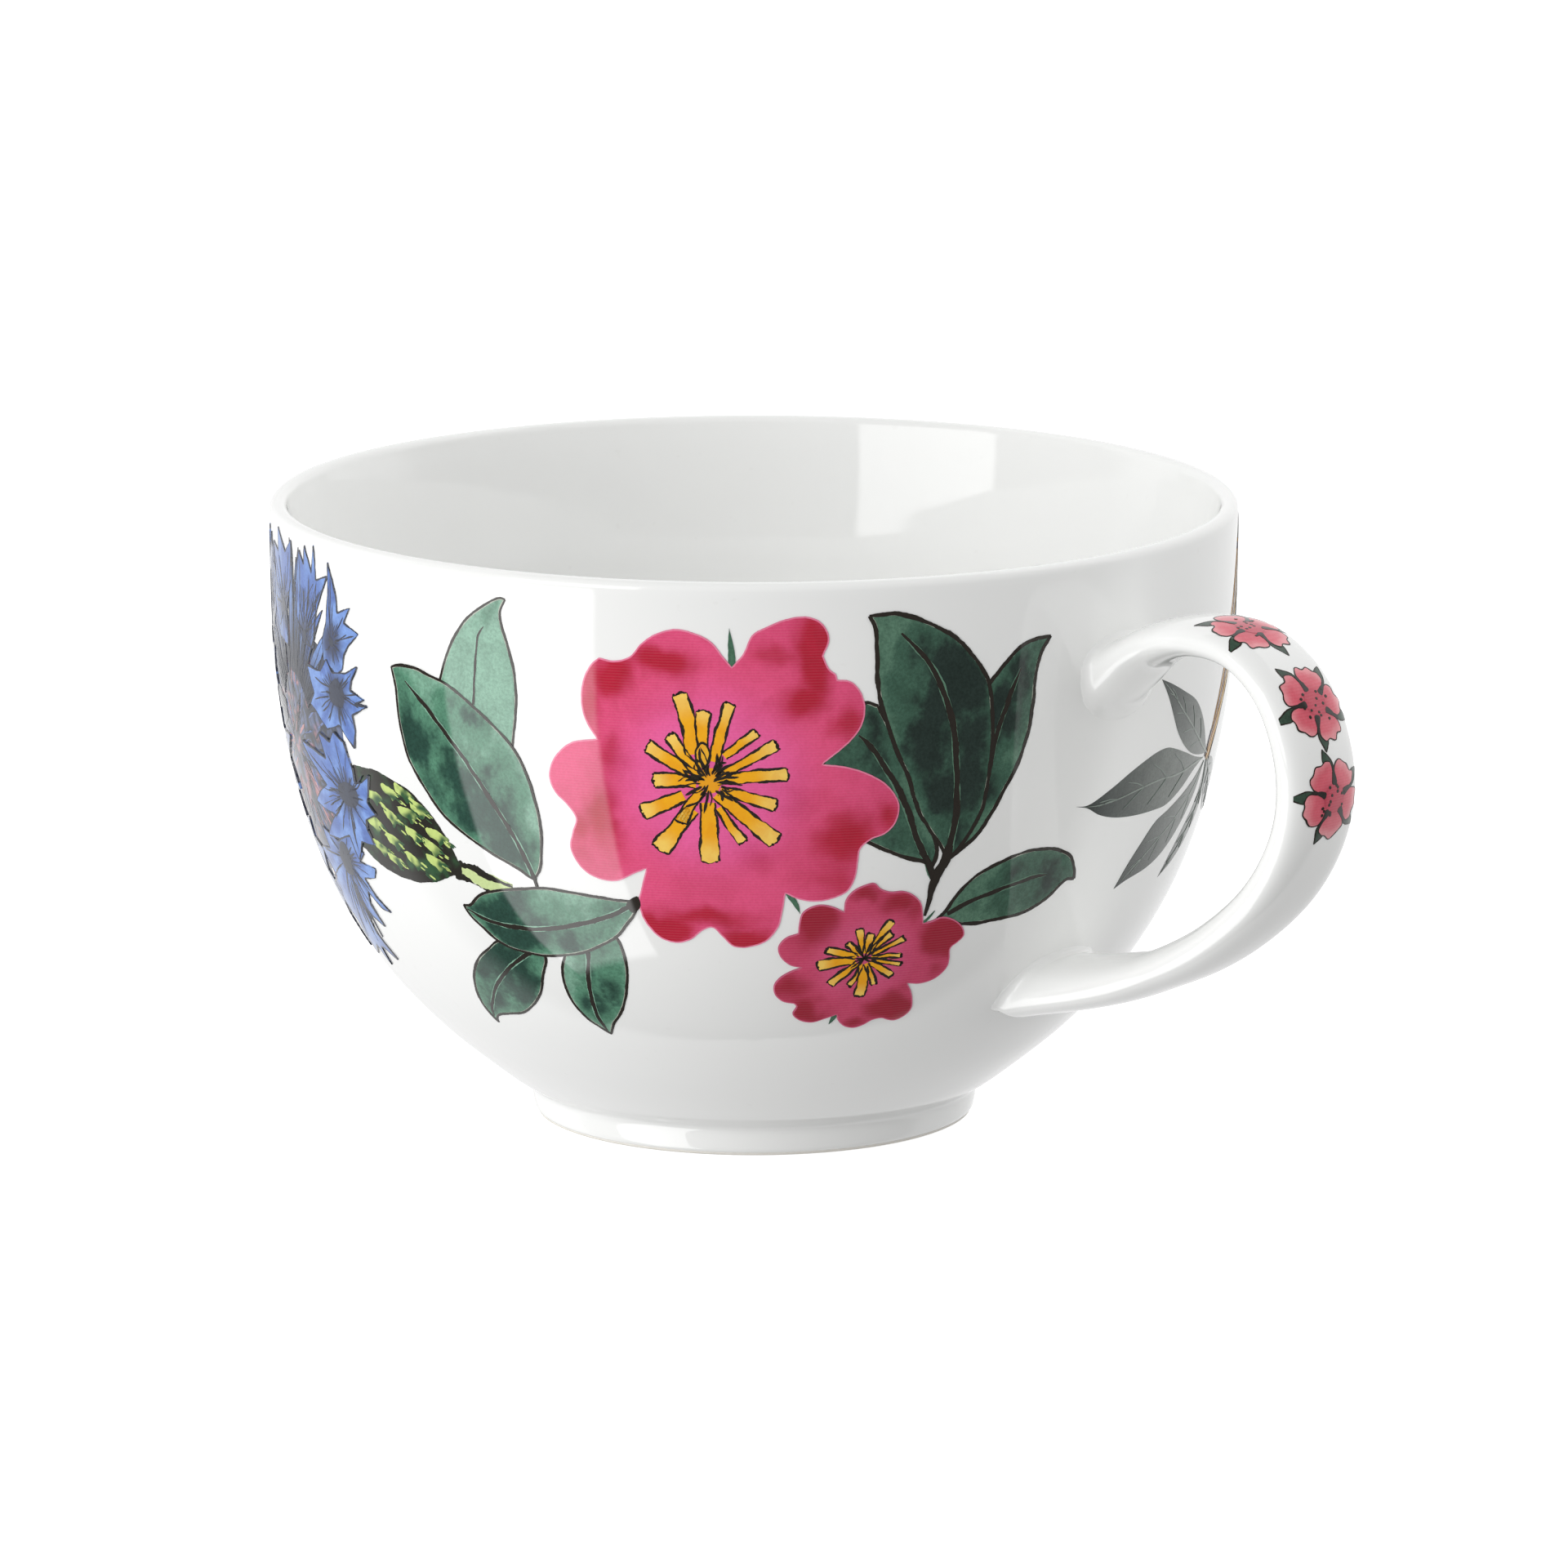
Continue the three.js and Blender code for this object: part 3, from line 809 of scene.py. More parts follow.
def sliver(ink, start, end, width):
    """A thin leaf seen between two petals."""
    line = smooth([start, ((start[0] + end[0]) / 2 + 0.1, (start[1] + end[1]) / 2), end], 0.2)
    ink.stroke(line, [width, width, width * 0.7, 0.05], 0, rgb(82, 122, 98), LEAF, 0.1, (1, 0.1))


def camellia(name, turn):
    """The large pink flower, turned round the cup from its place in front."""
    ink = Print(wall_place, CHART["camellia"] + turn, CAMELLIA_LAYER)
    outline = lobed(CAMELLIA_LOBES)
    outline = outline + np.column_stack([wander(len(outline), 0.02), wander(len(outline), 0.02)])
    sliver(ink, (3.0, 61.8), (2.75, 66.4), 0.75)
    sliver(ink, (8.1, 39.0), (9.4, 36.2), 0.7)
    ink.fill(outline, 1, rgb(244, 138, 172), PETAL, 0.8)
    middle = (*CAMELLIA_CENTRE, 9.5, rgb(246, 106, 176))
    tint = petal_tint(rgb(234, 84, 132), rgb(190, 24, 56), CAMELLIA_BLOTS, 3, middle)
    ink.fill(shrunk(outline, 0.16), 2, tint, PETAL, 0.45)
    for tip, root, width in CAMELLIA_STAMENS:
        stamen(ink, tip, root, width, 3)
    curl = smooth([(-0.5, 52.6), (-0.6, 54.0), (0.0, 54.8), (0.7, 54.0), (0.6, 52.8), (0.1, 52.0)], 0.15)
    ink.fill(curl, 5, rgb(240, 180, 50), GOLD, 0.4)
    ink.stroke(curl, 0.22, 6, INK, PLAIN, 0.4)
    ink.dot((0.7, 50.8), 2.6, 3, rgb(240, 166, 36), GOLD, 14)
    x, s = CAMELLIA_CENTRE
    for _ in range(46):
        way = rng.random() * 2 * math.pi
        near, far = 0.3 + 1.3 * rng.random(), 1.6 + 2.2 * rng.random()
        ray = [(x + r * math.cos(way + b), s + r * math.sin(way + b))
               for r, b in ((near, 0), ((near + far) / 2, 0.12 * rng.normal()), (far, 0))]
        ink.stroke(smooth(ray, 0.15), 0.16 + 0.1 * rng.random(), 6, INK, PLAIN, 0.4, (0.4, 0.2))
    ink.piece(name)


def blossom(name, turn):
    """The small pink flower under the camellia."""
    ink = Print(wall_place, CHART["blossom"] + turn, BLOSSOM_LAYER)
    outline = lobed(BLOSSOM_LOBES)
    sliver(ink, (2.0, 23.6), (1.35, 21.7), 0.5)
    sliver(ink, (10.0, 34.2), (11.4, 35.7), 0.25)
    ink.fill(outline, 1, rgb(222, 112, 146), PETAL, 0.8)
    middle = (*BLOSSOM_CENTRE, 5.0, rgb(224, 92, 138))
    tint = petal_tint(rgb(214, 74, 114), rgb(168, 28, 54), BLOSSOM_BLOTS, 9, middle)
    ink.fill(shrunk(outline, 0.14), 2, tint, PETAL, 0.4)
    centre = np.array(BLOSSOM_CENTRE)
    for x, s, width in BLOSSOM_STAMENS:
        tip = np.array([x, s])
        stamen(ink, tip, centre + (tip - centre) * 0.2, width * 1.05, 3)
    for _ in range(20):
        way, far = rng.random() * 2 * math.pi, 0.7 + 1.3 * rng.random()
        end = centre + far * np.array([math.cos(way), math.sin(way)])
        ink.stroke([centre, end], 0.14, 5, INK, PLAIN, 0.4, (0.5, 0.2), 0.15)
    ink.piece(name)


# ---- leaves ----


def leaf_tint(outline, seed, shade, tones):
    """Patches of three greens, palest at the leaf's margin. shade moves them all
    lighter, below 0, or darker."""
    light, mid, dark = tones

    def tint(flat):
        slant = flat @ np.array([[0.8, -0.35], [0.35, 0.8]])
        gap = np.min(np.hypot(flat[:, :1] - outline[:, 0], flat[:, 1:] - outline[:, 1]), axis=1)
        depth = 0.52 + 1.15 * (cloudy(slant, 5.5, seed) - 0.5) + shade - 0.32 * np.exp(-gap / 0.7)
        depth = depth + 0.16 * (lattice(flat * np.array([3.0, 0.8]), 0.8, seed) - 0.5)
        colour = mixed(light, mid, step01(depth, 0.22, 0.46))
        return mixed(colour, dark, step01(depth, 0.5, 0.72))
    return tint


def leaf(ink, edge, other, rib, layer, seed, shade, line, rib_width, tones):
    """A leaf with a drawn outline and midrib. Both edges run from tip to base."""
    one, two = smooth(edge, 0.22), smooth(other, 0.22)
    outline = between(one, two)
    ink.fill(outline, layer, CREAM, PLAIN, 0.9)
    ink.fill(shrunk(outline, 0.2), layer + 1, leaf_tint(outline, seed, shade, tones), LEAF, 0.42)
    middle = smooth(rib, 0.22)
    widths = np.array([0.85, 1.0, 1.05, 1.1, 1.2]) * rib_width
    ink.stroke(middle, widths + 0.12, layer + 2, tones[0], PLAIN, 0.1, (0.4, 0.8))
    ink.stroke(middle, widths, layer + 3, INK, PLAIN, 0.16, (0.4, 0.9))
    for side in (one, two):
        ink.stroke(side, line, layer + 3, INK, PLAIN, 0.18, (0.8, 0.9))


def left_leaves(name, turn):
    """The five leaves left of the camellia."""
    ink = Print(wall_place, CHART["left_leaves"] + turn)
    tones = (rgb(136, 182, 158), rgb(92, 144, 118), rgb(44, 80, 68))
    leaf(ink, [(4.6, 68.1), (3.9, 68.2), (2, 67.2), (0, 65.7), (-1.4, 64), (-2.5, 62), (-3.2, 60.2),
               (-3.6, 58.6), (-2.6, 56.0), (2.0, 53.0), (5, 53.0)],
         [(4.6, 68.1), (4, 66.8), (4.2, 65.3), (4.9, 63.2), (5.5, 61), (5.7, 58.5), (5.5, 56),
          (5, 53.0)],
         [(2, 65.1), (1.4, 64.2), (1.1, 62.5), (0.9, 60.5), (0.7, 58.5), (0.6, 57)],
         0, 4, -0.16, 0.26, 0.26, tones)
    leaf(ink, [(-10.4, 59.5), (-9.3, 59.8), (-7, 59.8), (-5, 59.3), (-3, 58.8), (-0.8, 57.7),
               (1, 56.5), (3, 55), (4.9, 53.2), (6.2, 50.9), (7, 48), (7.3, 45), (7, 42),
               (6.4, 40), (5.7, 39)],
         [(-10.4, 59.5), (-9.8, 57.5), (-9.6, 54.6), (-9.2, 52.5), (-8.6, 50.3), (-7.5, 48.5),
          (-6.2, 46.7), (-4.6, 44.8), (-2.4, 43.2), (-0.2, 41.9), (2, 40.8), (4, 39.9),
          (5.2, 39.1), (5.7, 39)],
         [(-8.4, 58.3), (-7, 57.2), (-5.6, 56), (-3.3, 53.8), (-1, 51.2), (1, 48.5), (2.8, 45.7),
          (4.3, 42.9), (5.2, 40.6), (5.7, 38.9)], 4, 7, 0.12, 0.26, 0.46, tones)
    ink.stroke([(5.6, 39.4), (5.8, 38.1)], 0.3, 8, INK, PLAIN)
    ink.middle = CHART["low_left_leaves"] + turn
    leaf(ink, [(-10.4, 18.6), (-11.1, 20), (-11.6, 21.8), (-11.5, 23.8), (-10.8, 26), (-9.5, 28),
               (-7.5, 29.8), (-6.2, 30.8), (-3.5, 31.2)],
         [(-10.4, 18.6), (-10.3, 19.3), (-9.6, 20), (-8, 20.5), (-6, 21.1), (-4, 22.8), (-2.6, 24.7),
          (-1.6, 27.2), (-0.7, 29.6), (-1.2, 31.0), (-3.5, 31.2)],
         [(-10.6, 19.6), (-10.4, 20.6), (-9.6, 22.3), (-8.3, 24.5), (-6.5, 26.6), (-4.5, 28.4),
          (-2.4, 29.9)], 0, 21, 0.16, 0.28, 0.42, tones)
    leaf(ink, [(3.8, 19.4), (3, 20.2), (1.8, 21.5), (1, 23.2), (0.6, 25.5), (0.8, 27.8), (1.5, 29.8),
               (3.0, 32.0), (5.5, 33.0)],
         [(3.8, 19.4), (4.5, 21), (5.5, 22.3), (6.6, 24.2), (7.5, 26.5), (8.1, 28.8), (8.2, 31),
          (7.8, 32.8), (5.5, 33.0)],
         [(3.5, 19.9), (3.1, 22), (3.2, 24.5), (3.5, 27), (4, 29.2), (4.4, 30.8)],
         0, 15, 0.12, 0.28, 0.42, tones)
    leaf(ink, [(-9.6, 34.7), (-8.8, 34.8), (-7, 36.3), (-5, 37), (-2, 37.6), (1, 38), (4, 37.8),
               (7, 37.5), (10, 37.3), (10.9, 37.5)],
         [(-9.6, 34.7), (-9, 33.6), (-7.5, 32.2), (-6, 30.9), (-4.5, 30.2), (-2.5, 29.9),
          (-0.8, 29.8), (1.5, 30.1), (4, 30.8), (6, 31.8), (8, 33.1), (9.2, 34.5), (10.2, 35.8),
          (10.9, 37.0)],
         [(-9.2, 34.3), (-7, 33.4), (-4.5, 33), (-1.5, 33), (1.5, 33.5), (4.5, 34.3), (7, 35.2),
          (9, 36.2), (10.8, 37.2)], 4, 33, 0.16, 0.26, 0.46, tones)
    ink.fill(smooth([(9.6, 36.9), (10.9, 37.9), (11.1, 36.9), (10.2, 36.0)], 0.2, True), 8, INK,
             PLAIN, 0.5)
    ink.piece(name)


def right_leaves(name, turn):
    """The four leaves and the twig right of the camellia."""
    ink = Print(wall_place, CHART["right_leaves"] + turn)
    tones = (rgb(98, 136, 114), rgb(70, 106, 88), rgb(42, 58, 52))
    leaf(ink, [(-8.4, 58.2), (-9.8, 58.6), (-11, 56), (-13.8, 52.6), (-13.4, 47.0), (-8.8, 44.1),
               (-6.5, 42.9), (-4.5, 42), (-2.5, 41.4), (-1.6, 40.6)],
         [(-8.4, 58.2), (-7.2, 55.8), (-6.2, 53.2), (-5, 50.8), (-4.2, 48.4), (-3.2, 46.3),
          (-1.8, 44.3), (-1.2, 42), (-1.6, 40.6)],
         [(-10.3, 55.3), (-9.2, 54.3), (-7.7, 52.2), (-6.3, 50), (-5, 47.5), (-3.8, 44.7),
          (-2.6, 42.2), (-2, 41), (-1.3, 39.5)], 0, 41, 0.06, 0.4, 0.56, tones)
    leaf(ink, [(10.8, 63.8), (9, 63.7), (7.3, 63.2), (5.8, 62), (4.5, 60.7), (3.4, 59.4), (2.2, 55.0),
               (1.2, 48.0), (0.3, 41.5)],
         [(10.8, 63.8), (9.7, 62.3), (9, 60), (8.7, 57), (8.2, 54), (7.2, 51), (5.8, 48.5),
          (4.5, 46), (3.2, 44), (1.5, 42.4), (0.3, 41.5)],
         [(7.2, 60.9), (6.3, 59), (5.4, 56.8), (4.6, 54.5), (4.0, 51.5), (3.3, 47.5), (1.8, 43.8),
          (0.5, 41.8)], 0, 47, -0.02, 0.4, 0.5, tones)
    leaf(ink, [(-9.4, 67.4), (-8, 67.5), (-6.6, 67.5), (-4.5, 66.9), (-2.5, 66), (-0.5, 64.8),
               (1.2, 63.2), (2.6, 61.4), (3.5, 59.6), (3.8, 57.5), (4, 55), (4, 52), (3.7, 49),
               (3.3, 46.5), (2.3, 44.3), (1, 42.4), (0.0, 41.4)],
         [(-9.4, 67.4), (-8.8, 66.4), (-8.6, 64), (-8.5, 61), (-8.1, 58.5), (-7.2, 55.8),
          (-6.2, 53.2), (-5, 50.8), (-4.2, 48.4), (-3.2, 46.3), (-1.8, 44.3), (-0.5, 42.5),
          (0.0, 41.4)],
         [(-6.1, 65.5), (-4.8, 64.2), (-3.3, 62.5), (-2.1, 60.5), (-1.2, 58.2), (-0.4, 55.5),
          (0, 52.5), (0.3, 49.5), (0.5, 46.5), (0.2, 43.5), (0, 41.5)], 4, 53, 0.08, 0.4, 0.56, tones)
    for line, width in (
            ([(0.1, 43.0), (-0.2, 41.4), (-0.8, 40.2), (-1.2, 38.6), (-1.4, 37.0), (-1.6, 35.2)],
             [0.7, 1.1, 1.1, 0.8, 0.5, 0.25]),
            ([(-2.4, 42.0), (-1.8, 40.9), (-1.4, 39.6)], [0.5, 0.6, 0.5])):
        ink.stroke(smooth(line, 0.2), width, 8, INK, PLAIN, 0.1)
    ink.middle = CHART["low_right_leaf"] + turn
    leaf(ink, [(-6.5, 34.7), (-5.8, 35.4), (-5, 37), (-3.5, 38.8), (-1.5, 40), (0.5, 40.7),
               (2.5, 41.2), (4.5, 41.3), (6.5, 41), (7.5, 40.6), (8.8, 39.8), (9.7, 38.3),
               (9.9, 37.1)],
         [(-6.5, 34.7), (-5.5, 34.5), (-4.2, 33.9), (-2, 33.7), (0.5, 33.8), (3, 34), (5.2, 34.7),
          (6.8, 35.6), (8, 36.7), (8.9, 37.2), (9.9, 37.1)],
         [(5.9, 38.2), (4, 38.2), (1.5, 37.6), (-1, 37), (-3.5, 36.2), (-5.5, 35.2)],
         0, 59, 0.02, 0.36, 0.44, tones)
    ink.piece(name)


# ---- the seed head and the blue flower ----


def seed_head(name):
    """A green scaly bud on a pale stem, beside the blue flower."""
    ink = Print(wall_place, CHART["seed_head"])
    dark, scale_pale, deep = rgb(44, 42, 36), rgb(200, 220, 130), rgb(54, 92, 60)
    stem = smooth([(8.0, 38.9), (9.6, 38.6), (11.5, 38.0), (14.8, 37.1)], 0.25)
    ink.stroke(stem, [1.8, 2.0, 2.1, 2.0], 0, rgb(205, 222, 158), PLAIN, 0.05)
    for offset in (0.85, 0.6, -0.85):
        ink.stroke(stem + sideways(stem) * offset, [0.5, 0.35, 0.3], 1, dark, PLAIN, 0.6, (1, 0.4))
    upper = [(-7.5, 46.6), (-5.5, 47.9), (-3.5, 48), (-1, 47.9), (1, 47.4), (3, 46.8), (5, 45.6),
             (6.7, 43.9), (7.9, 42), (8.6, 40.2), (9.0, 39.2)]
    lower = [(9.0, 39.2), (8.5, 37.9), (7.7, 38), (6, 37.3), (4, 36.6), (1.5, 36.3), (-1, 36.5),
             (-3, 36.9), (-5, 37.7), (-6.6, 38.6), (-9.0, 39.2)]
    outline = np.vstack([smooth(upper, 0.22)[:-1], smooth(lower, 0.22)])
    outline = outline + np.column_stack([wander(len(outline), 0.05), wander(len(outline), 0.05)])
    ink.fill(outline, 2, lambda p: mixed(dark, deep, step01(cloudy(p, 1.6, 5), 0.5, 0.8)), PLAIN, 0.4)
    for x, s in ((0.5, 45.8), (2.6, 46), (2.8, 43.8), (0, 43), (-0.3, 40.3), (3, 41.5),
                 (-0.8, 38), (2.3, 38.4), (5.6, 38.9), (6.5, 42), (4.6, 44.6), (-2.5, 44.9),
                 (-3.2, 41.8), (-3.0, 39.2), (5.4, 40.6)):
        shape = [(-1.5, 0.5), (-0.6, 0.75), (0.5, 0.7), (1.5, 0.35), (0.9, -0.1), (0.5, -0.75),
                 (-0.1, -0.35), (-1.0, -0.2)]
        lean = -0.35 + 0.12 * rng.normal()
        turned_shape = [(x + 1.02 * (a * math.cos(lean) - b * math.sin(lean)),
                         s + 1.02 * (a * math.sin(lean) + b * math.cos(lean))) for a, b in shape]
        shell = smooth(turned_shape, 0.16, True)
        shell = shell + np.column_stack([wander(len(shell), 0.07), wander(len(shell), 0.07)])
        ink.fill(shell, 3, lambda p, a=x, b=s: mixed(scale_pale, deep, np.clip(
            step01(0.5 * (p[:, 0] - a) - 0.8 * (p[:, 1] - b) + 1.8 * lattice(p, 0.6, 8), 0.2, 1.5), 0, 1)),
            PLAIN, 0.22)
        for k in range(5):
            at = np.array([x + 0.9 + 0.35 * rng.normal(), s - 0.2 + 0.35 * rng.normal()])
            ink.stroke([at, at + np.array([0.9, -0.5]) * (0.5 + 0.5 * rng.random())], 0.16, 4,
                       deep if k % 2 else scale_pale, PLAIN, 0.4, (0.3, 0.2), 0.15)
    ink.piece(name)


BLUES = (rgb(122, 160, 226), rgb(84, 120, 194), rgb(52, 66, 104))     # light, middle, dark
SLATE = rgb(52, 58, 76)
BLUE_DISC = [(2.0, 58.0), (3.4, 53.0), (3.0, 46.0), (1.0, 38.5), (-4.0, 35.0), (-12.0, 33.5),
             (-20.0, 37.0), (-23.5, 46.0), (-22.0, 56.0), (-15.0, 60.5), (-6.0, 60.8)]
FAN_ROOT, FAN_TOP = np.array([-8.5, 50.5]), 69.6
# Each floret is (throat x, s, half width, half height, outline, layer).
FLORETS = [
    (-10.5, 62.0, 0.6, 0.6, [(-9.5, 57.9), (-9.6, 61.5), (-7.6, 65.2), (-7.5, 69.3), (-9.6, 67.6),
                             (-12.7, 69.8), (-12.8, 67.2), (-15.7, 67.8), (-14.2, 64.6),
                             (-17.2, 66.4), (-15.4, 62.2), (-13.2, 58.6)], 0),
    (-3.8, 60.0, 0.6, 0.6, [(-4.1, 59.2), (-6.0, 61.8), (-5.9, 66.0), (-4.9, 68.7), (-3.6, 67.3),
                            (-3.3, 69.4), (-1.6, 66.8), (-1.0, 69.9), (-0.6, 66.2), (1.9, 67.0),
                            (0.2, 64.4), (-1.2, 62.0), (-1.6, 59.0)], 0),
    (2.6, 60.4, 0.5, 0.5, [(0.8, 58.2), (0.6, 60.4), (1.6, 62.2), (2.1, 65.2), (2.2, 68.6),
                           (3.7, 65.4), (3.9, 63.6), (6.4, 64.5), (5.2, 62.8), (7.8, 62.0),
                           (5.8, 60.4), (5.0, 59.4), (4.6, 57.8), (3.4, 57.2)], 1),
    (3.3, 55.2, 1.3, 1.2, [(3.8, 57.4), (5.2, 57.6), (7.4, 58.6), (6.3, 57), (5.9, 55.9),
                           (8.4, 55.3), (6.6, 54.6), (8.8, 54.7), (5.9, 53.4), (6.2, 51.8),
                           (5.7, 49.8), (4.3, 50.9), (3.3, 51.9), (0.4, 51.0), (-1.5, 52.3),
                           (-3.2, 53), (-1.8, 54.4), (-3.4, 57), (0, 56.9), (1.4, 58.4),
                           (2.6, 57.2)], 3),
    (2.6, 44.3, 1.9, 1.2, [(3.6, 50.2), (4.6, 47.5), (4.6, 46.0), (5.9, 46.2), (7.5, 47.3),
                           (6.7, 45), (6.3, 44.2), (7.4, 43), (5.3, 42.2), (5.0, 41),
                           (5.8, 39.4), (3.3, 39.4), (2.3, 38.0), (1.4, 37.0), (0.8, 39.6),
                           (-2, 38.6), (-5.2, 38.5), (-3.2, 40.2), (-1.6, 41.4), (-4.5, 41.6),
                           (-6.5, 42), (-4.6, 43.4), (-2.0, 44.6), (-5, 46.3), (-7.7, 48.3),
                           (-4, 48.0), (-1.0, 47.6), (-2, 50.2), (0.6, 49.6), (1.6, 50.9)], 4),
    (-2.3, 36.4, 1.5, 1.6, [(0.5, 39.9), (1.4, 38.6), (2.8, 37.9), (1.2, 36.7), (4.3, 36.5),
                            (3.5, 35.3), (1.0, 34.8), (2.2, 32.8), (4.1, 31.4), (2.6, 31.5),
                            (0.6, 33.2), (-0.2, 31.4), (1.0, 29.0), (-0.9, 29.9), (-2.4, 31.4),
                            (-2.6, 27.4), (-0.8, 24.3), (-2.9, 25.4), (-4.0, 25.4), (-4.6, 22.7),
                            (-5.4, 25.3), (-8.4, 23.2), (-8.2, 27.6), (-11.8, 31.4),
                            (-8.2, 33.0), (-10.6, 36.0), (-6.6, 36.6), (-7.2, 39.0),
                            (-3.0, 38.2)], 2)]
HIDDEN_SIDE = -21.0       # florets are mirrored about half this for the far half of the head


def blue_disc_tint(p):
    way = np.column_stack([p[:, 0] * 2.2 + p[:, 1] * 0.6, p[:, 1] * 1.0])
    depth = cloudy(way, 1.3, 17)
    colour = mixed(rgb(98, 112, 150), rgb(46, 52, 66), step01(depth, 0.3, 0.62))
    warm = step01(cloudy(p * np.array([1.0, 2.2]), 1.5, 23), 0.6, 0.7) * step01(p[:, 0], 1.0, -6.0)
    return mixed(colour, rgb(196, 132, 136), warm * 0.8)


def bristles(ink):
    """Short pen strokes all over the middle of the head."""
    for _ in range(210):
        reach = 1 + 13 * rng.random()
        way = rng.random() * 2 * math.pi
        x, s = -10 + 0.85 * reach * math.cos(way), 47.5 + reach * math.sin(way)
        bend = way + 0.25 * rng.normal()
        tail = (x + 2.6 * math.cos(bend), s + 2.6 * math.sin(bend))
        shade = [SLATE, rgb(38, 42, 52), rgb(104, 124, 178), rgb(30, 34, 44),
                 rgb(196, 138, 142)][int(rng.integers(5))]
        ink.stroke([(x, s), tail], 0.14 + 0.16 * rng.random(), 1, shade, PLAIN, 0.4, (0.2, 0.1), 0.32)


def blades(ink):
    """Narrow pointed petals that fan out over the top and down the far side."""
    for _ in range(46):
        way = math.radians(18 + 168 * rng.random())
        base = FAN_ROOT + 5 * np.array([math.cos(way) * 0.9, math.sin(way)])
        far = 17.5 + 1.6 * rng.random() if way < 1.9 else 16.0 + 2.5 * rng.random()
        tip = FAN_ROOT + far * np.array([math.cos(way) * 0.78, math.sin(way)])
        tip = tip + np.array([0.0 if tip[0] < 1 else -0.25 * (tip[0] - 1), 0.0])
        tip[1] = min(tip[1], FAN_TOP)
        across = np.array([-(tip - base)[1], (tip - base)[0]]) / np.hypot(*(tip - base))
        bend, half = 0.5 * rng.normal(), 0.55 + 0.4 * rng.random()
        middle = base * 0.45 + tip * 0.55 + across * bend
        one = smooth([tip, middle + across * half, base + across * 0.35], 0.3)
        two = smooth([tip, middle - across * half, base - across * 0.35], 0.3)
        shade = BLUES[int(rng.integers(3))]
        layer = int(rng.integers(2, 5))
        ink.fill(between(one, two), layer, lambda p, c=shade, b=base, f=far: mixed(
            SLATE, c, step01(np.hypot(*(p - b).T), 1.0, f * 0.5)), BLUE, 0.55)
        ink.stroke(one, 0.13, layer + 1, SLATE, PLAIN, 0.5, (0.5, 1), 0.3)
        ink.stroke(two, 0.18, layer + 1, rgb(36, 42, 58), PLAIN, 0.5, (0.3, 1), 0.3)
        ink.stroke([tip * 0.85 + base * 0.15, middle, base], 0.12, layer + 1, SLATE, PLAIN, 0.4, (0.2, 1))


def floret_tint(throat, layer):
    """Blue streaks that run out from a dark throat."""
    light, mid, dark = BLUES

    def tint(p):
        away = np.hypot(*(p - throat).T)
        angle = np.arctan2(p[:, 1] - throat[1], p[:, 0] - throat[0])
        streak = lattice(np.column_stack([angle * 5.5, away * 0.35]), 1.0, layer)
        colour = mixed(light, mid, step01(streak + 0.25 * cloudy(p, 2.2, 3), 0.35, 0.85))
        return mixed(dark, colour, step01(away, 0.8, 3.2))
    return tint


def floret(ink, shape, throat, wide, tall, layer):
    """A pointed trumpet with an inked edge, a dark mouth and pen lines to its points."""
    first, over = 5 + 2 * layer, 6 + 2 * layer
    edge = even(np.vstack([shape, shape[:1]]), 0.22)[:-1]
    ink.fill(edge, first, floret_tint(throat, layer), BLUE, 0.45)
    ink.stroke(np.vstack([edge, edge[:1]]), 0.15, over, SLATE, PLAIN, 0.5, (1, 1), 0.2)
    turn_round = np.linspace(0, 2 * math.pi, 13)[:-1]
    mouth = throat + np.column_stack([wide * np.cos(turn_round), tall * np.sin(turn_round)]) \
        * (1 + 0.2 * wander(12, 1, 1))[:, None]
    ink.fill(smooth(mouth, 0.2, True), over, rgb(54, 62, 82), BLUE, 0.5)
    for corner in shape:
        reach = corner - throat
        for _ in range(2):
            start = throat + reach * (0.18 + 0.12 * rng.random())
            end = throat + reach * (0.45 + 0.4 * rng.random()) + 0.25 * rng.normal(size=2)
            if np.hypot(*reach) > 1.5:
                ink.stroke([start, (start + end) / 2 + 0.1 * rng.normal(size=2), end],
                           0.1 + 0.07 * rng.random(), over, SLATE, PLAIN, 0.4, (0.9, 0.1), 0.22)


def blue_flower(name):
    """A blue head of many florets. Those of its far half mirror the near ones."""
    ink = Print(wall_place, CHART["blue_flower"])
    ink.fill(smooth(BLUE_DISC, 0.3, True), 0, blue_disc_tint, BLUE, 0.45)
    bristles(ink)
    blades(ink)
    for throat_x, throat_s, wide, tall, outline, layer in FLORETS:
        floret(ink, np.array(outline, float), np.array([throat_x, throat_s]), wide, tall, layer)
    for throat_x, throat_s, wide, tall, outline, layer in FLORETS:
        throat = np.array([HIDDEN_SIDE - throat_x, throat_s * 0.98 + 0.4])
        if throat[0] < HIDDEN_SIDE + 8:
            shape = np.array(outline, float)
            shape = np.column_stack([HIDDEN_SIDE - shape[:, 0], shape[:, 1] * 0.98 + 0.4])[::-1]
            floret(ink, shape, throat, wide, tall, layer)
    ink.piece(name)


# ---- the spray behind the handle ----

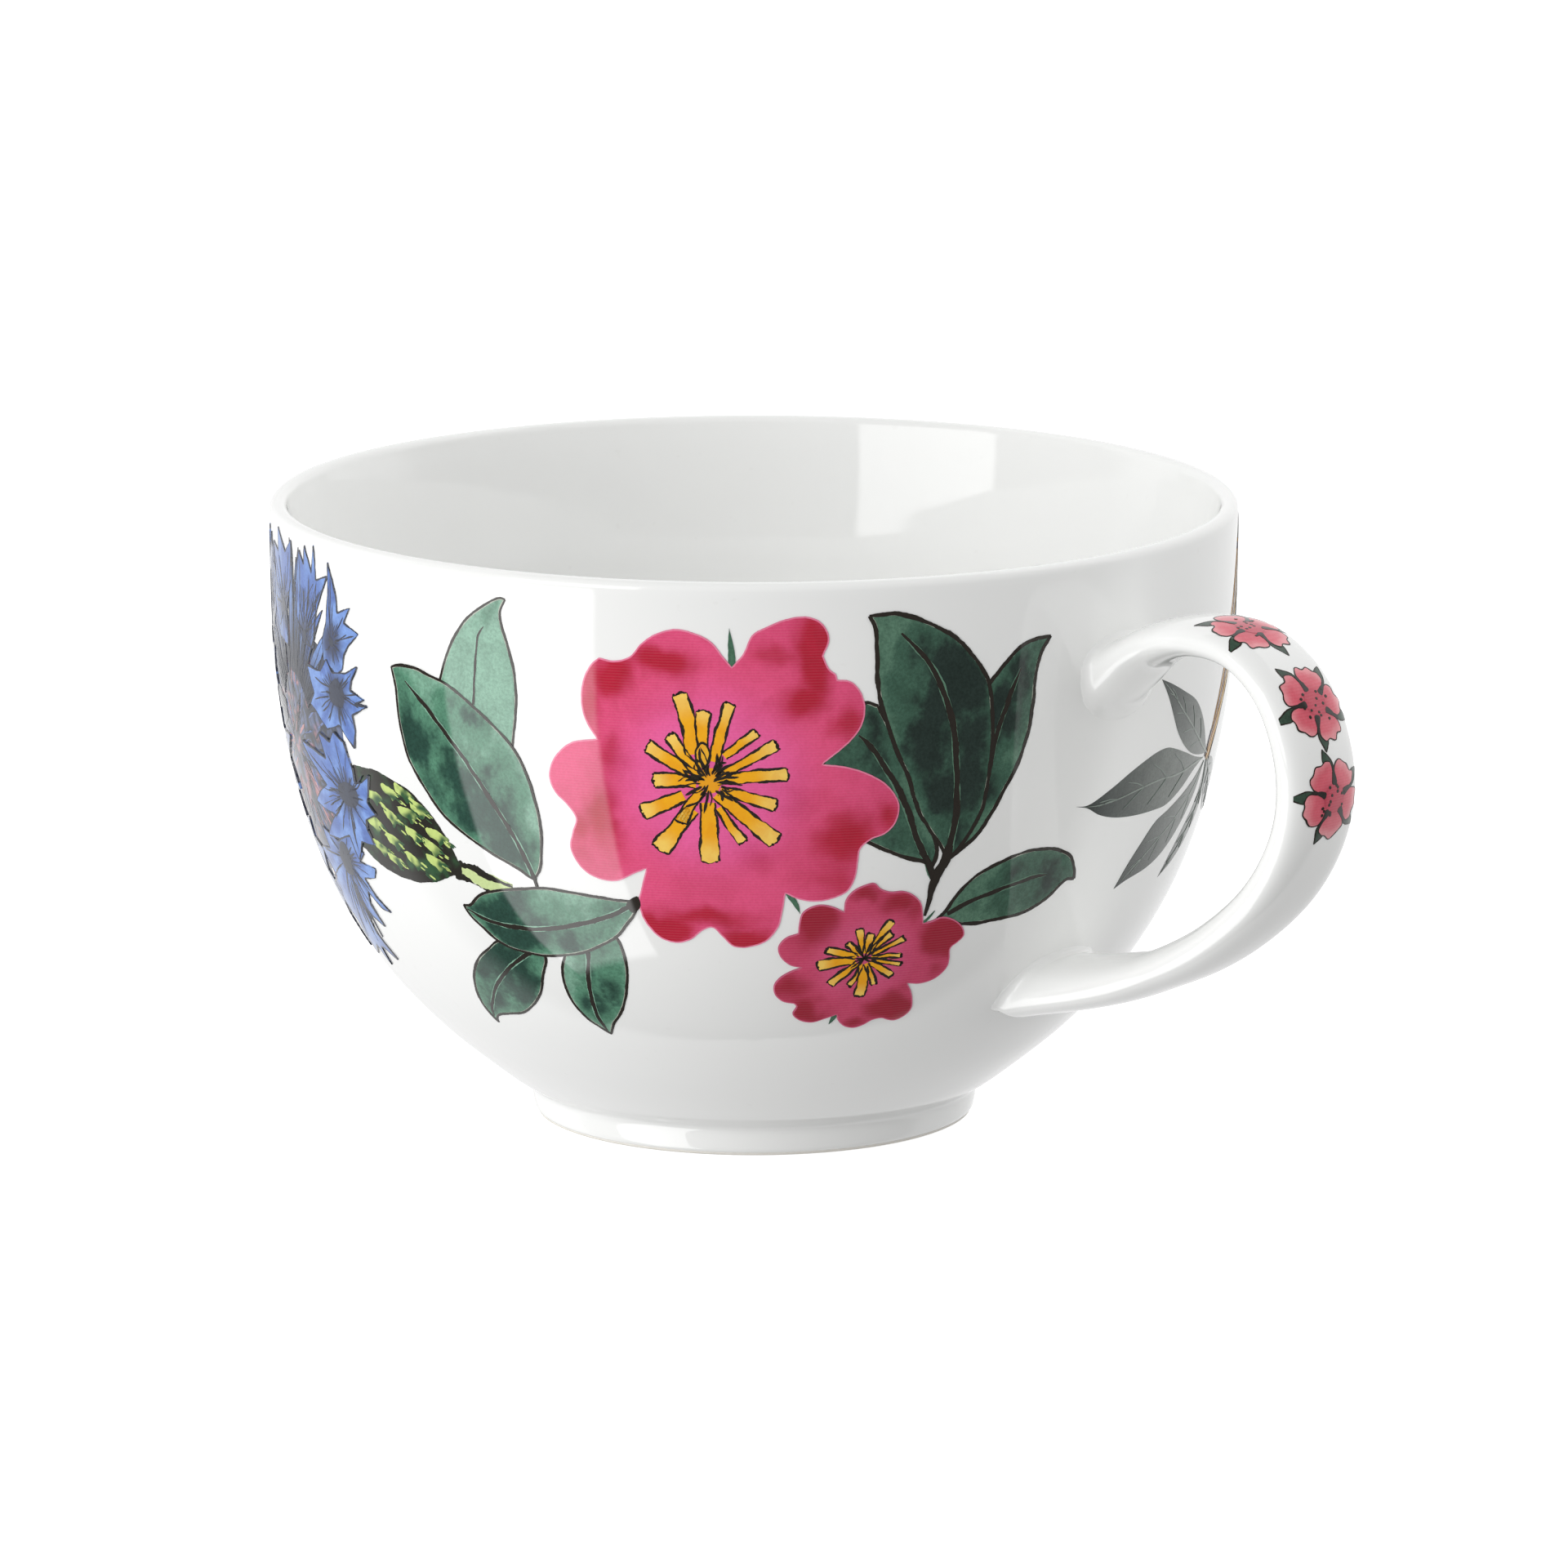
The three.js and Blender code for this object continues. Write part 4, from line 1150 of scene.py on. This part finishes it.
# Each leaf of the spray is its two edges, from tip to base.
SPRAY = [
    ([(-16.7, 45.3), (-15, 45.2), (-12, 46.4), (-9, 47.8), (-6.5, 48.7), (-4.5, 49.2),
      (-2.5, 49.3), (-0.8, 48.9), (2, 48), (5, 47), (8, 46.3)],
     [(-16.7, 45.3), (-15, 44.9), (-13, 43.9), (-10.5, 43.2), (-7, 42.8), (-3, 42.7),
      (-0.5, 42.8), (2.5, 43.9), (5.5, 45.5), (8, 46.3)]),
    ([(-5.1, 56.9), (-3, 56.1), (0, 54.8), (3, 53.4), (5, 51.8), (6.6, 50), (8, 48), (9.2, 46.6)],
     [(-5.1, 56.9), (-3.5, 54.8), (-2, 52.5), (-0.7, 50.7), (1.2, 49), (3.5, 47.7), (6, 47),
      (9.2, 46.6)]),
    ([(-6.7, 34.6), (-5.6, 37), (-4, 39.2), (-2, 41.2), (0.5, 42.1), (3.5, 43.2), (6.5, 44.5),
      (8.7, 45.8)],
     [(-6.7, 34.6), (-5, 35.2), (-1, 36), (1.5, 37), (4, 38.8), (6, 40.8), (7.8, 43.2),
      (8.7, 45.8)]),
    ([(3.2, 33.9), (4.5, 36.2), (6.5, 38.8), (8.6, 41.2), (9.6, 43.4), (9.6, 45.8)],
     [(3.2, 33.9), (6.5, 35.4), (9.4, 37.6), (11.4, 40.4), (11.2, 43.2), (9.6, 45.8)]),
    ([(17.5, 38.5), (14.8, 39.2), (12.4, 41.2), (10.8, 43.6), (9.8, 46.0)],
     [(17.5, 38.5), (17.0, 41.0), (15.4, 43.6), (12.8, 45.4), (9.8, 46.0)])]


def spray_leaf(ink, edge, other, k):
    """A narrow dark green leaf with a pale midrib and side veins, darkest at its tip and greying towards its
    base; the grey is a painted reflection of the bright room on the glaze.
    """
    one, two = smooth(edge, 0.22), smooth(other, 0.22)
    outline = between(one, two)
    tip, base = one[0], one[-1]
    span = np.hypot(*(base - tip))

    def tint(p):
        at = np.hypot(*(p - tip).T) / span
        depth = step01(at, 0.05, 0.75) + 0.35 * (cloudy(p, 3.0, k) - 0.5)
        # Dark green at the tip turning grey towards the base: the grey is a painted reflection of the bright
        # room on the glaze.
        return mixed(rgb(38, 50, 45), rgb(112, 119, 113), depth)

    ink.fill(outline, k % 3, tint, LEAF, 0.5)
    share = np.linspace(0, 1, 24)
    sides = [even(one, 0.1), even(two, 0.1)]
    middle = sum(side[(share * (len(side) - 1)).astype(int)] for side in sides) / 2
    ink.stroke(middle[1:], [0.08, 0.14, 0.22], 4, rgb(138, 150, 140), PLAIN, 0.2, (0.3, 1))
    for j in (6, 10, 14, 18):
        for side in sides:
            end = side[int(max(0, j - 4) / 23 * (len(side) - 1))]
            stop = middle[j] + (end - middle[j]) * 0.72
            ink.stroke([middle[j], (middle[j] + stop) / 2 + 0.12, stop], 0.08, 4,
                       rgb(120, 134, 124), PLAIN, 0.2, (1, 0.2))


def gold_stalk(ink):
    stalk = smooth([(9.4, 45.9), (11.3, 49.8), (14.1, 54.5), (16.8, 59.0), (19.5, 63.2), (21.9, 66.4)],
                   0.3)
    ink.stroke(stalk, [1.0, 2.4, 3.4, 3.6, 3.2, 2.2], 3, rgb(214, 162, 72), GOLD, 0.04, (0.5, 1))
    for offset, shade, width in ((0.95, rgb(112, 100, 108), 0.45), (-1.3, rgb(96, 84, 80), 0.3),
                                 (0.3, rgb(150, 106, 52), 0.3), (-0.6, rgb(238, 196, 110), 0.5)):
        ink.stroke(stalk + sideways(stalk) * offset * 0.9, [width * 0.4, width, width], 5, shade,
                   PLAIN, 0.5, (0.3, 0.6))


def stalk_flower(ink):
    """Yellow petals fanned out at the top of the stalk, behind the handle."""
    base = np.array([21.8, 65.8])
    for way in np.linspace(0.15, 2.2, 6):
        tip = base + np.array([math.cos(-way + 0.6), math.sin(-way + 0.6)]) * (9.5 - 1.2 * abs(way - 1.1))
        across = np.array([-(tip - base)[1], (tip - base)[0]]) * 0.2
        middle = (tip + base) / 2
        one, two = smooth([tip, middle + across, base], 0.2), smooth([tip, middle - across, base], 0.2)
        ink.fill(between(one, two), 3 + int(way * 10) % 3, lambda p: mixed(
            rgb(196, 116, 44), rgb(240, 196, 104), step01(np.hypot(*(p - base).T), 1, 8)), GOLD, 0.4)
        for side in (one, two):
            ink.stroke(side, 0.16, 7, INK, PLAIN, 0.3, (0.6, 0.9))


def spray(name):
    """Dark green leaves on a gold stalk, on the wall behind the handle, greyed towards their bases by a
    painted reflection.
    """
    ink = Print(wall_place, CHART["spray_with_painted_reflection"])
    for k, (edge, other) in enumerate(SPRAY):
        spray_leaf(ink, edge, other, k)
    gold_stalk(ink)
    stalk_flower(ink)
    ink.piece(name)


# ---- florets on the handle ----

# The t of each floret's middle on the handle, and its turn in radians.
HANDLE_FLORETS = [(0.309, 1.75), (0.431, 0.3), (0.532, 0.0)]
# The outline of a heart-shaped petal: (angle from its middle, distance from the heart).
FLORET_PETAL = ((-0.6, 1.2), (-0.58, 2.7), (-0.53, 3.5), (-0.34, 3.95), (-0.2, 3.85),
                (0.0, 4.2), (0.17, 3.9), (0.36, 3.95), (0.54, 3.45), (0.59, 2.4),
                (0.6, 1.2), (0.0, 0.3))
CORAL, PALE_CORAL, DEEP_CORAL = rgb(226, 104, 120), rgb(240, 160, 166), rgb(200, 74, 94)


def coral_tint(p):
    reach = np.hypot(*p.T)
    outer = mixed(CORAL, PALE_CORAL, step01(reach + 0.8 * cloudy(p, 1.5, 2), 3.2, 4.4))
    return mixed(DEEP_CORAL, outer, step01(reach, 0.8, 2.6))


def sepal(ink, way):
    tip_way = way + 0.22
    tip = np.array([math.cos(tip_way), math.sin(tip_way)]) * (5.3 + 0.4 * rng.normal() * 0.5)
    base = np.array([math.cos(way), math.sin(way)]) * 2.2
    across = np.array([-base[1], base[0]]) / 2.2 * 0.75
    one = smooth([tip, (tip + base) / 2 + across * 1.05, base], 0.15)
    two = smooth([tip, (tip + base) / 2 - across * 0.75, base], 0.15)
    ink.fill(between(one, two), 0, rgb(62, 84, 70), LEAF, 0.3)
    for side in (one, two):
        ink.stroke(side, 0.14, 1, INK, PLAIN, 0.3, (0.6, 1), 0.14)


def coral_petal(ink, way):
    ring = []
    for side, reach in FLORET_PETAL:
        reach = reach * (1 + 0.03 * rng.normal())
        ring.append((reach * math.cos(way + side), reach * math.sin(way + side)))
    petal = smooth(ring, 0.18, True)
    ink.fill(petal, 2, coral_tint, PETAL, 0.4)
    ink.stroke(np.vstack([petal, petal[:1]]), 0.13, 3, INK, PLAIN, 0.3, (1, 1), 0.14)


def floret_heart(ink, ways):
    heart = [(1.5 * math.cos(a), 1.5 * math.sin(a)) for a in np.linspace(0, 2 * math.pi, 13)[:-1]]
    ink.fill(smooth(heart, 0.2, True), 4, DEEP_CORAL, PETAL, 0.4)
    for way in ways:
        line = [(r * math.cos(way), r * math.sin(way)) for r in (1.35, 2.2, 3.3)]
        ink.stroke(line, [0.8, 0.62, 0.34, 0.22], 5, rgb(50, 46, 44), PLAIN, 0.1, (0.5, 1), 0.15)
    for _ in range(15):
        way, reach = rng.random() * 2 * math.pi, 0.3 + 2.0 * rng.random() ** 0.7
        ink.dot((reach * math.cos(way), reach * math.sin(way)), 0.34, 6, INK, PLAIN, 8)


def handle_florets(name):
    """Three coral florets with five petals and five sepals along the handle."""
    ink = Print(handle_place, 0)
    for middle, lean in HANDLE_FLORETS:
        ink.middle = middle
        ways = [math.pi / 2 + lean + k * 2 * math.pi / 5 for k in range(5)]
        for way in ways:
            sepal(ink, way)
        for k in range(5):
            coral_petal(ink, math.pi / 2 + lean + (k + 0.5) * 2 * math.pi / 5)
        floret_heart(ink, ways)
    ink.piece(name)


# ---- the room ----


def stage():
    """A pale floor that gloss and matt surfaces don't see."""
    half = 3.0
    floor = bpy.data.meshes.new("studio_floor")
    floor.from_pydata([(-half, -half, 0), (half, -half, 0), (half, half, 0), (-half, half, 0)], [],
                      [(0, 1, 2, 3)])
    material, nodes, links, shader = new_material("studio_white", 0.9)
    shader.inputs["Base Color"].default_value = (0.9, 0.9, 0.9, 1)
    shader.inputs["Specular IOR Level"].default_value = 0.0
    shader.inputs["Emission Color"].default_value = (1, 1, 1, 1)
    shader.inputs["Emission Strength"].default_value = 0.6
    floor.materials.append(material)
    plane = bpy.data.objects.new("studio_floor", floor)
    bpy.context.scene.collection.objects.link(plane)
    plane.visible_glossy = False
    plane.visible_diffuse = False


def maths(nodes, links, kind, *values):
    """A Math node on sockets or numbers."""
    made = node(nodes, "ShaderNodeMath", operation=kind)
    for socket, value in zip(made.inputs, values):
        if isinstance(value, bpy.types.NodeSocket):
            links.new(value, socket)
        else:
            socket.default_value = value
    return made.outputs[0]


def direction(nodes, links, azimuth, elevation=0.0):
    """How far a world direction agrees with a fixed one, -1 to 1. Azimuths are
    measured from the camera's own right hand side, anticlockwise from above."""
    a, e = math.radians(azimuth + HANDLE_TURN), math.radians(elevation)
    dot = node(nodes, "ShaderNodeVectorMath", operation="DOT_PRODUCT")
    links.new(nodes["way"].outputs["Generated"], dot.inputs[0])
    dot.inputs[1].default_value = (math.cos(a) * math.cos(e), math.sin(a) * math.cos(e), math.sin(e))
    return dot.outputs["Value"]


def glow(nodes, links, azimuth, elevation, strength):
    """A soft broad patch of light about a direction."""
    toward = ranged(nodes, links, direction(nodes, links, azimuth, elevation), 0.0, 1.0)
    return maths(nodes, links, "MULTIPLY", maths(nodes, links, "POWER", toward, 3.0), strength)


def upward(nodes, links):
    """The x, y and z of the direction that the light comes from."""
    split = node(nodes, "ShaderNodeSeparateXYZ")
    links.new(nodes["way"].outputs["Generated"], split.inputs[0])
    return split.outputs


def sector(nodes, links, middle, half, soft):
    """1 within half degrees of an azimuth, whatever the height."""
    x, y, _ = upward(nodes, links)
    flat = maths(nodes, links, "ADD", maths(nodes, links, "MULTIPLY", x, x),
                 maths(nodes, links, "MULTIPLY", y, y))
    flat = maths(nodes, links, "SQRT", maths(nodes, links, "MAXIMUM", flat, 1e-6))
    along = maths(nodes, links, "DIVIDE", direction(nodes, links, middle), flat)
    wide, narrow = math.cos(math.radians(half + soft)), math.cos(math.radians(half - soft))
    return ranged(nodes, links, along, wide, narrow)


def height_band(nodes, links, low, high, soft):
    """1 between two elevations."""
    up = upward(nodes, links)[2]
    rise = ranged(nodes, links, up, math.sin(math.radians(low - soft)), math.sin(math.radians(low + soft)))
    fall = ranged(nodes, links, up, math.sin(math.radians(high + soft)), math.sin(math.radians(high - soft)))
    return maths(nodes, links, "MULTIPLY", rise, fall)


def total(nodes, links, parts):
    """The sum of several sockets."""
    whole = parts[0]
    for part in parts[1:]:
        whole = maths(nodes, links, "ADD", whole, part)
    return whole


# Soft light on matt surfaces: azimuth, elevation, strength.
GLOWS = [(-165, 15, 1.3), (-120, 25, 1.25), (90, 15, 0.75), (15, 25, 1.3), (45, 25, 0.55)]
FLOOR_GLOW, FLOOR_GLOW_FROM = 0.76, -160     # light from below, strongest from this azimuth
SKY = 0.06                                   # even light from above
# What gloss mirrors: azimuth, half width, lowest, highest, edge softness, strength.
MIRRORED = [(-148.5, 20.5, -59, -6, 0.6, 3.0), (-135.5, 18.5, -1, 30, 0.8, 3.0),
            (85, 78, -89, 60, 6.0, 0.85)]
MIRRORED_ROOM = 0.2
PAPER_WHITE = 1.05        # what the camera sees behind the cup


def studio_world():
    """White paper all round for the eye, soft light strongest from the left for the
    cup, and for its gloss a dim room with two windows on the left and a pale back wall."""
    world = bpy.data.worlds.new("studio")
    world.use_nodes = True
    bpy.context.scene.world = world
    nodes, links = world.node_tree.nodes, world.node_tree.links
    nodes.clear()
    nodes.new("ShaderNodeTexCoord").name = "way"
    rays = node(nodes, "ShaderNodeLightPath")
    up = upward(nodes, links)[2]
    sky = maths(nodes, links, "MULTIPLY", ranged(nodes, links, up, -0.02, 0.02), SKY)
    ground = maths(nodes, links, "MULTIPLY", ranged(nodes, links, up, 0.02, -0.02),
                   ranged(nodes, links, direction(nodes, links, FLOOR_GLOW_FROM), -1.0, 1.0, 0.0, FLOOR_GLOW))
    matt = total(nodes, links, [sky, ground] + [glow(nodes, links, *patch) for patch in GLOWS])
    gloss = total(nodes, links, [
        maths(nodes, links, "MULTIPLY", maths(nodes, links, "MULTIPLY",
              sector(nodes, links, middle, half, soft), height_band(nodes, links, low, high, 1.0)),
              strength) for middle, half, low, high, soft, strength in MIRRORED])
    gloss = maths(nodes, links, "ADD", gloss, MIRRORED_ROOM)
    light = node(nodes, "ShaderNodeMix", data_type="FLOAT")
    links.new(rays.outputs["Is Glossy Ray"], light.inputs[0])
    links.new(matt, light.inputs[2])
    links.new(gloss, light.inputs[3])
    seen = node(nodes, "ShaderNodeMix", data_type="FLOAT")
    links.new(rays.outputs["Is Camera Ray"], seen.inputs[0])
    links.new(light.outputs[0], seen.inputs[2])
    seen.inputs[3].default_value = PAPER_WHITE
    background = node(nodes, "ShaderNodeBackground")
    background.inputs["Color"].default_value = (1, 1, 1, 1)
    links.new(seen.outputs[0], background.inputs["Strength"])
    output = node(nodes, "ShaderNodeOutputWorld")
    links.new(background.outputs[0], output.inputs[0])


def camera():
    """A long lens from in front, a little above the rim, aimed right of the axis."""
    distance, rise, target_height, to_right = 1134.15, 11.61, 34.235, 3.104
    turn = math.radians(-90 + HANDLE_TURN)
    right = Vector((-math.sin(turn), math.cos(turn), 0))
    middle = Vector((AXIS_X, 0, target_height))
    e = math.radians(rise)
    place = middle + distance * Vector((math.cos(turn) * math.cos(e), math.sin(turn) * math.cos(e),
                                        math.sin(e)))
    target = middle + right * to_right
    data = bpy.data.cameras.new("camera")
    data.sensor_width, data.lens = 36.0, 250.74
    data.clip_start, data.clip_end = 0.05, 20.0
    eye = bpy.data.objects.new("camera", data)
    eye.location = place * MM
    eye.rotation_euler = (target - place).to_track_quat("-Z", "Y").to_euler()
    bpy.context.scene.collection.objects.link(eye)
    bpy.context.scene.camera = eye


bowl_piece()
foot_rest_piece()
handle_piece()
camellia("camellia", 0)
blossom("small_blossom", 0)
left_leaves("left_leaves", 0)
right_leaves("right_leaves", 0)
seed_head("seed_head")
blue_flower("blue_flower")
spray("spray_with_painted_reflection")
handle_florets("handle_florets")
BACK_TURN = 173.0         # the back of the cup repeats the front's pink flowers and leaves
camellia("back_camellia", BACK_TURN)
blossom("back_blossom", BACK_TURN)
left_leaves("back_left_leaves", BACK_TURN)
right_leaves("back_right_leaves", BACK_TURN)
stage()
studio_world()
camera()
bpy.context.scene.view_settings.view_transform = "Standard"
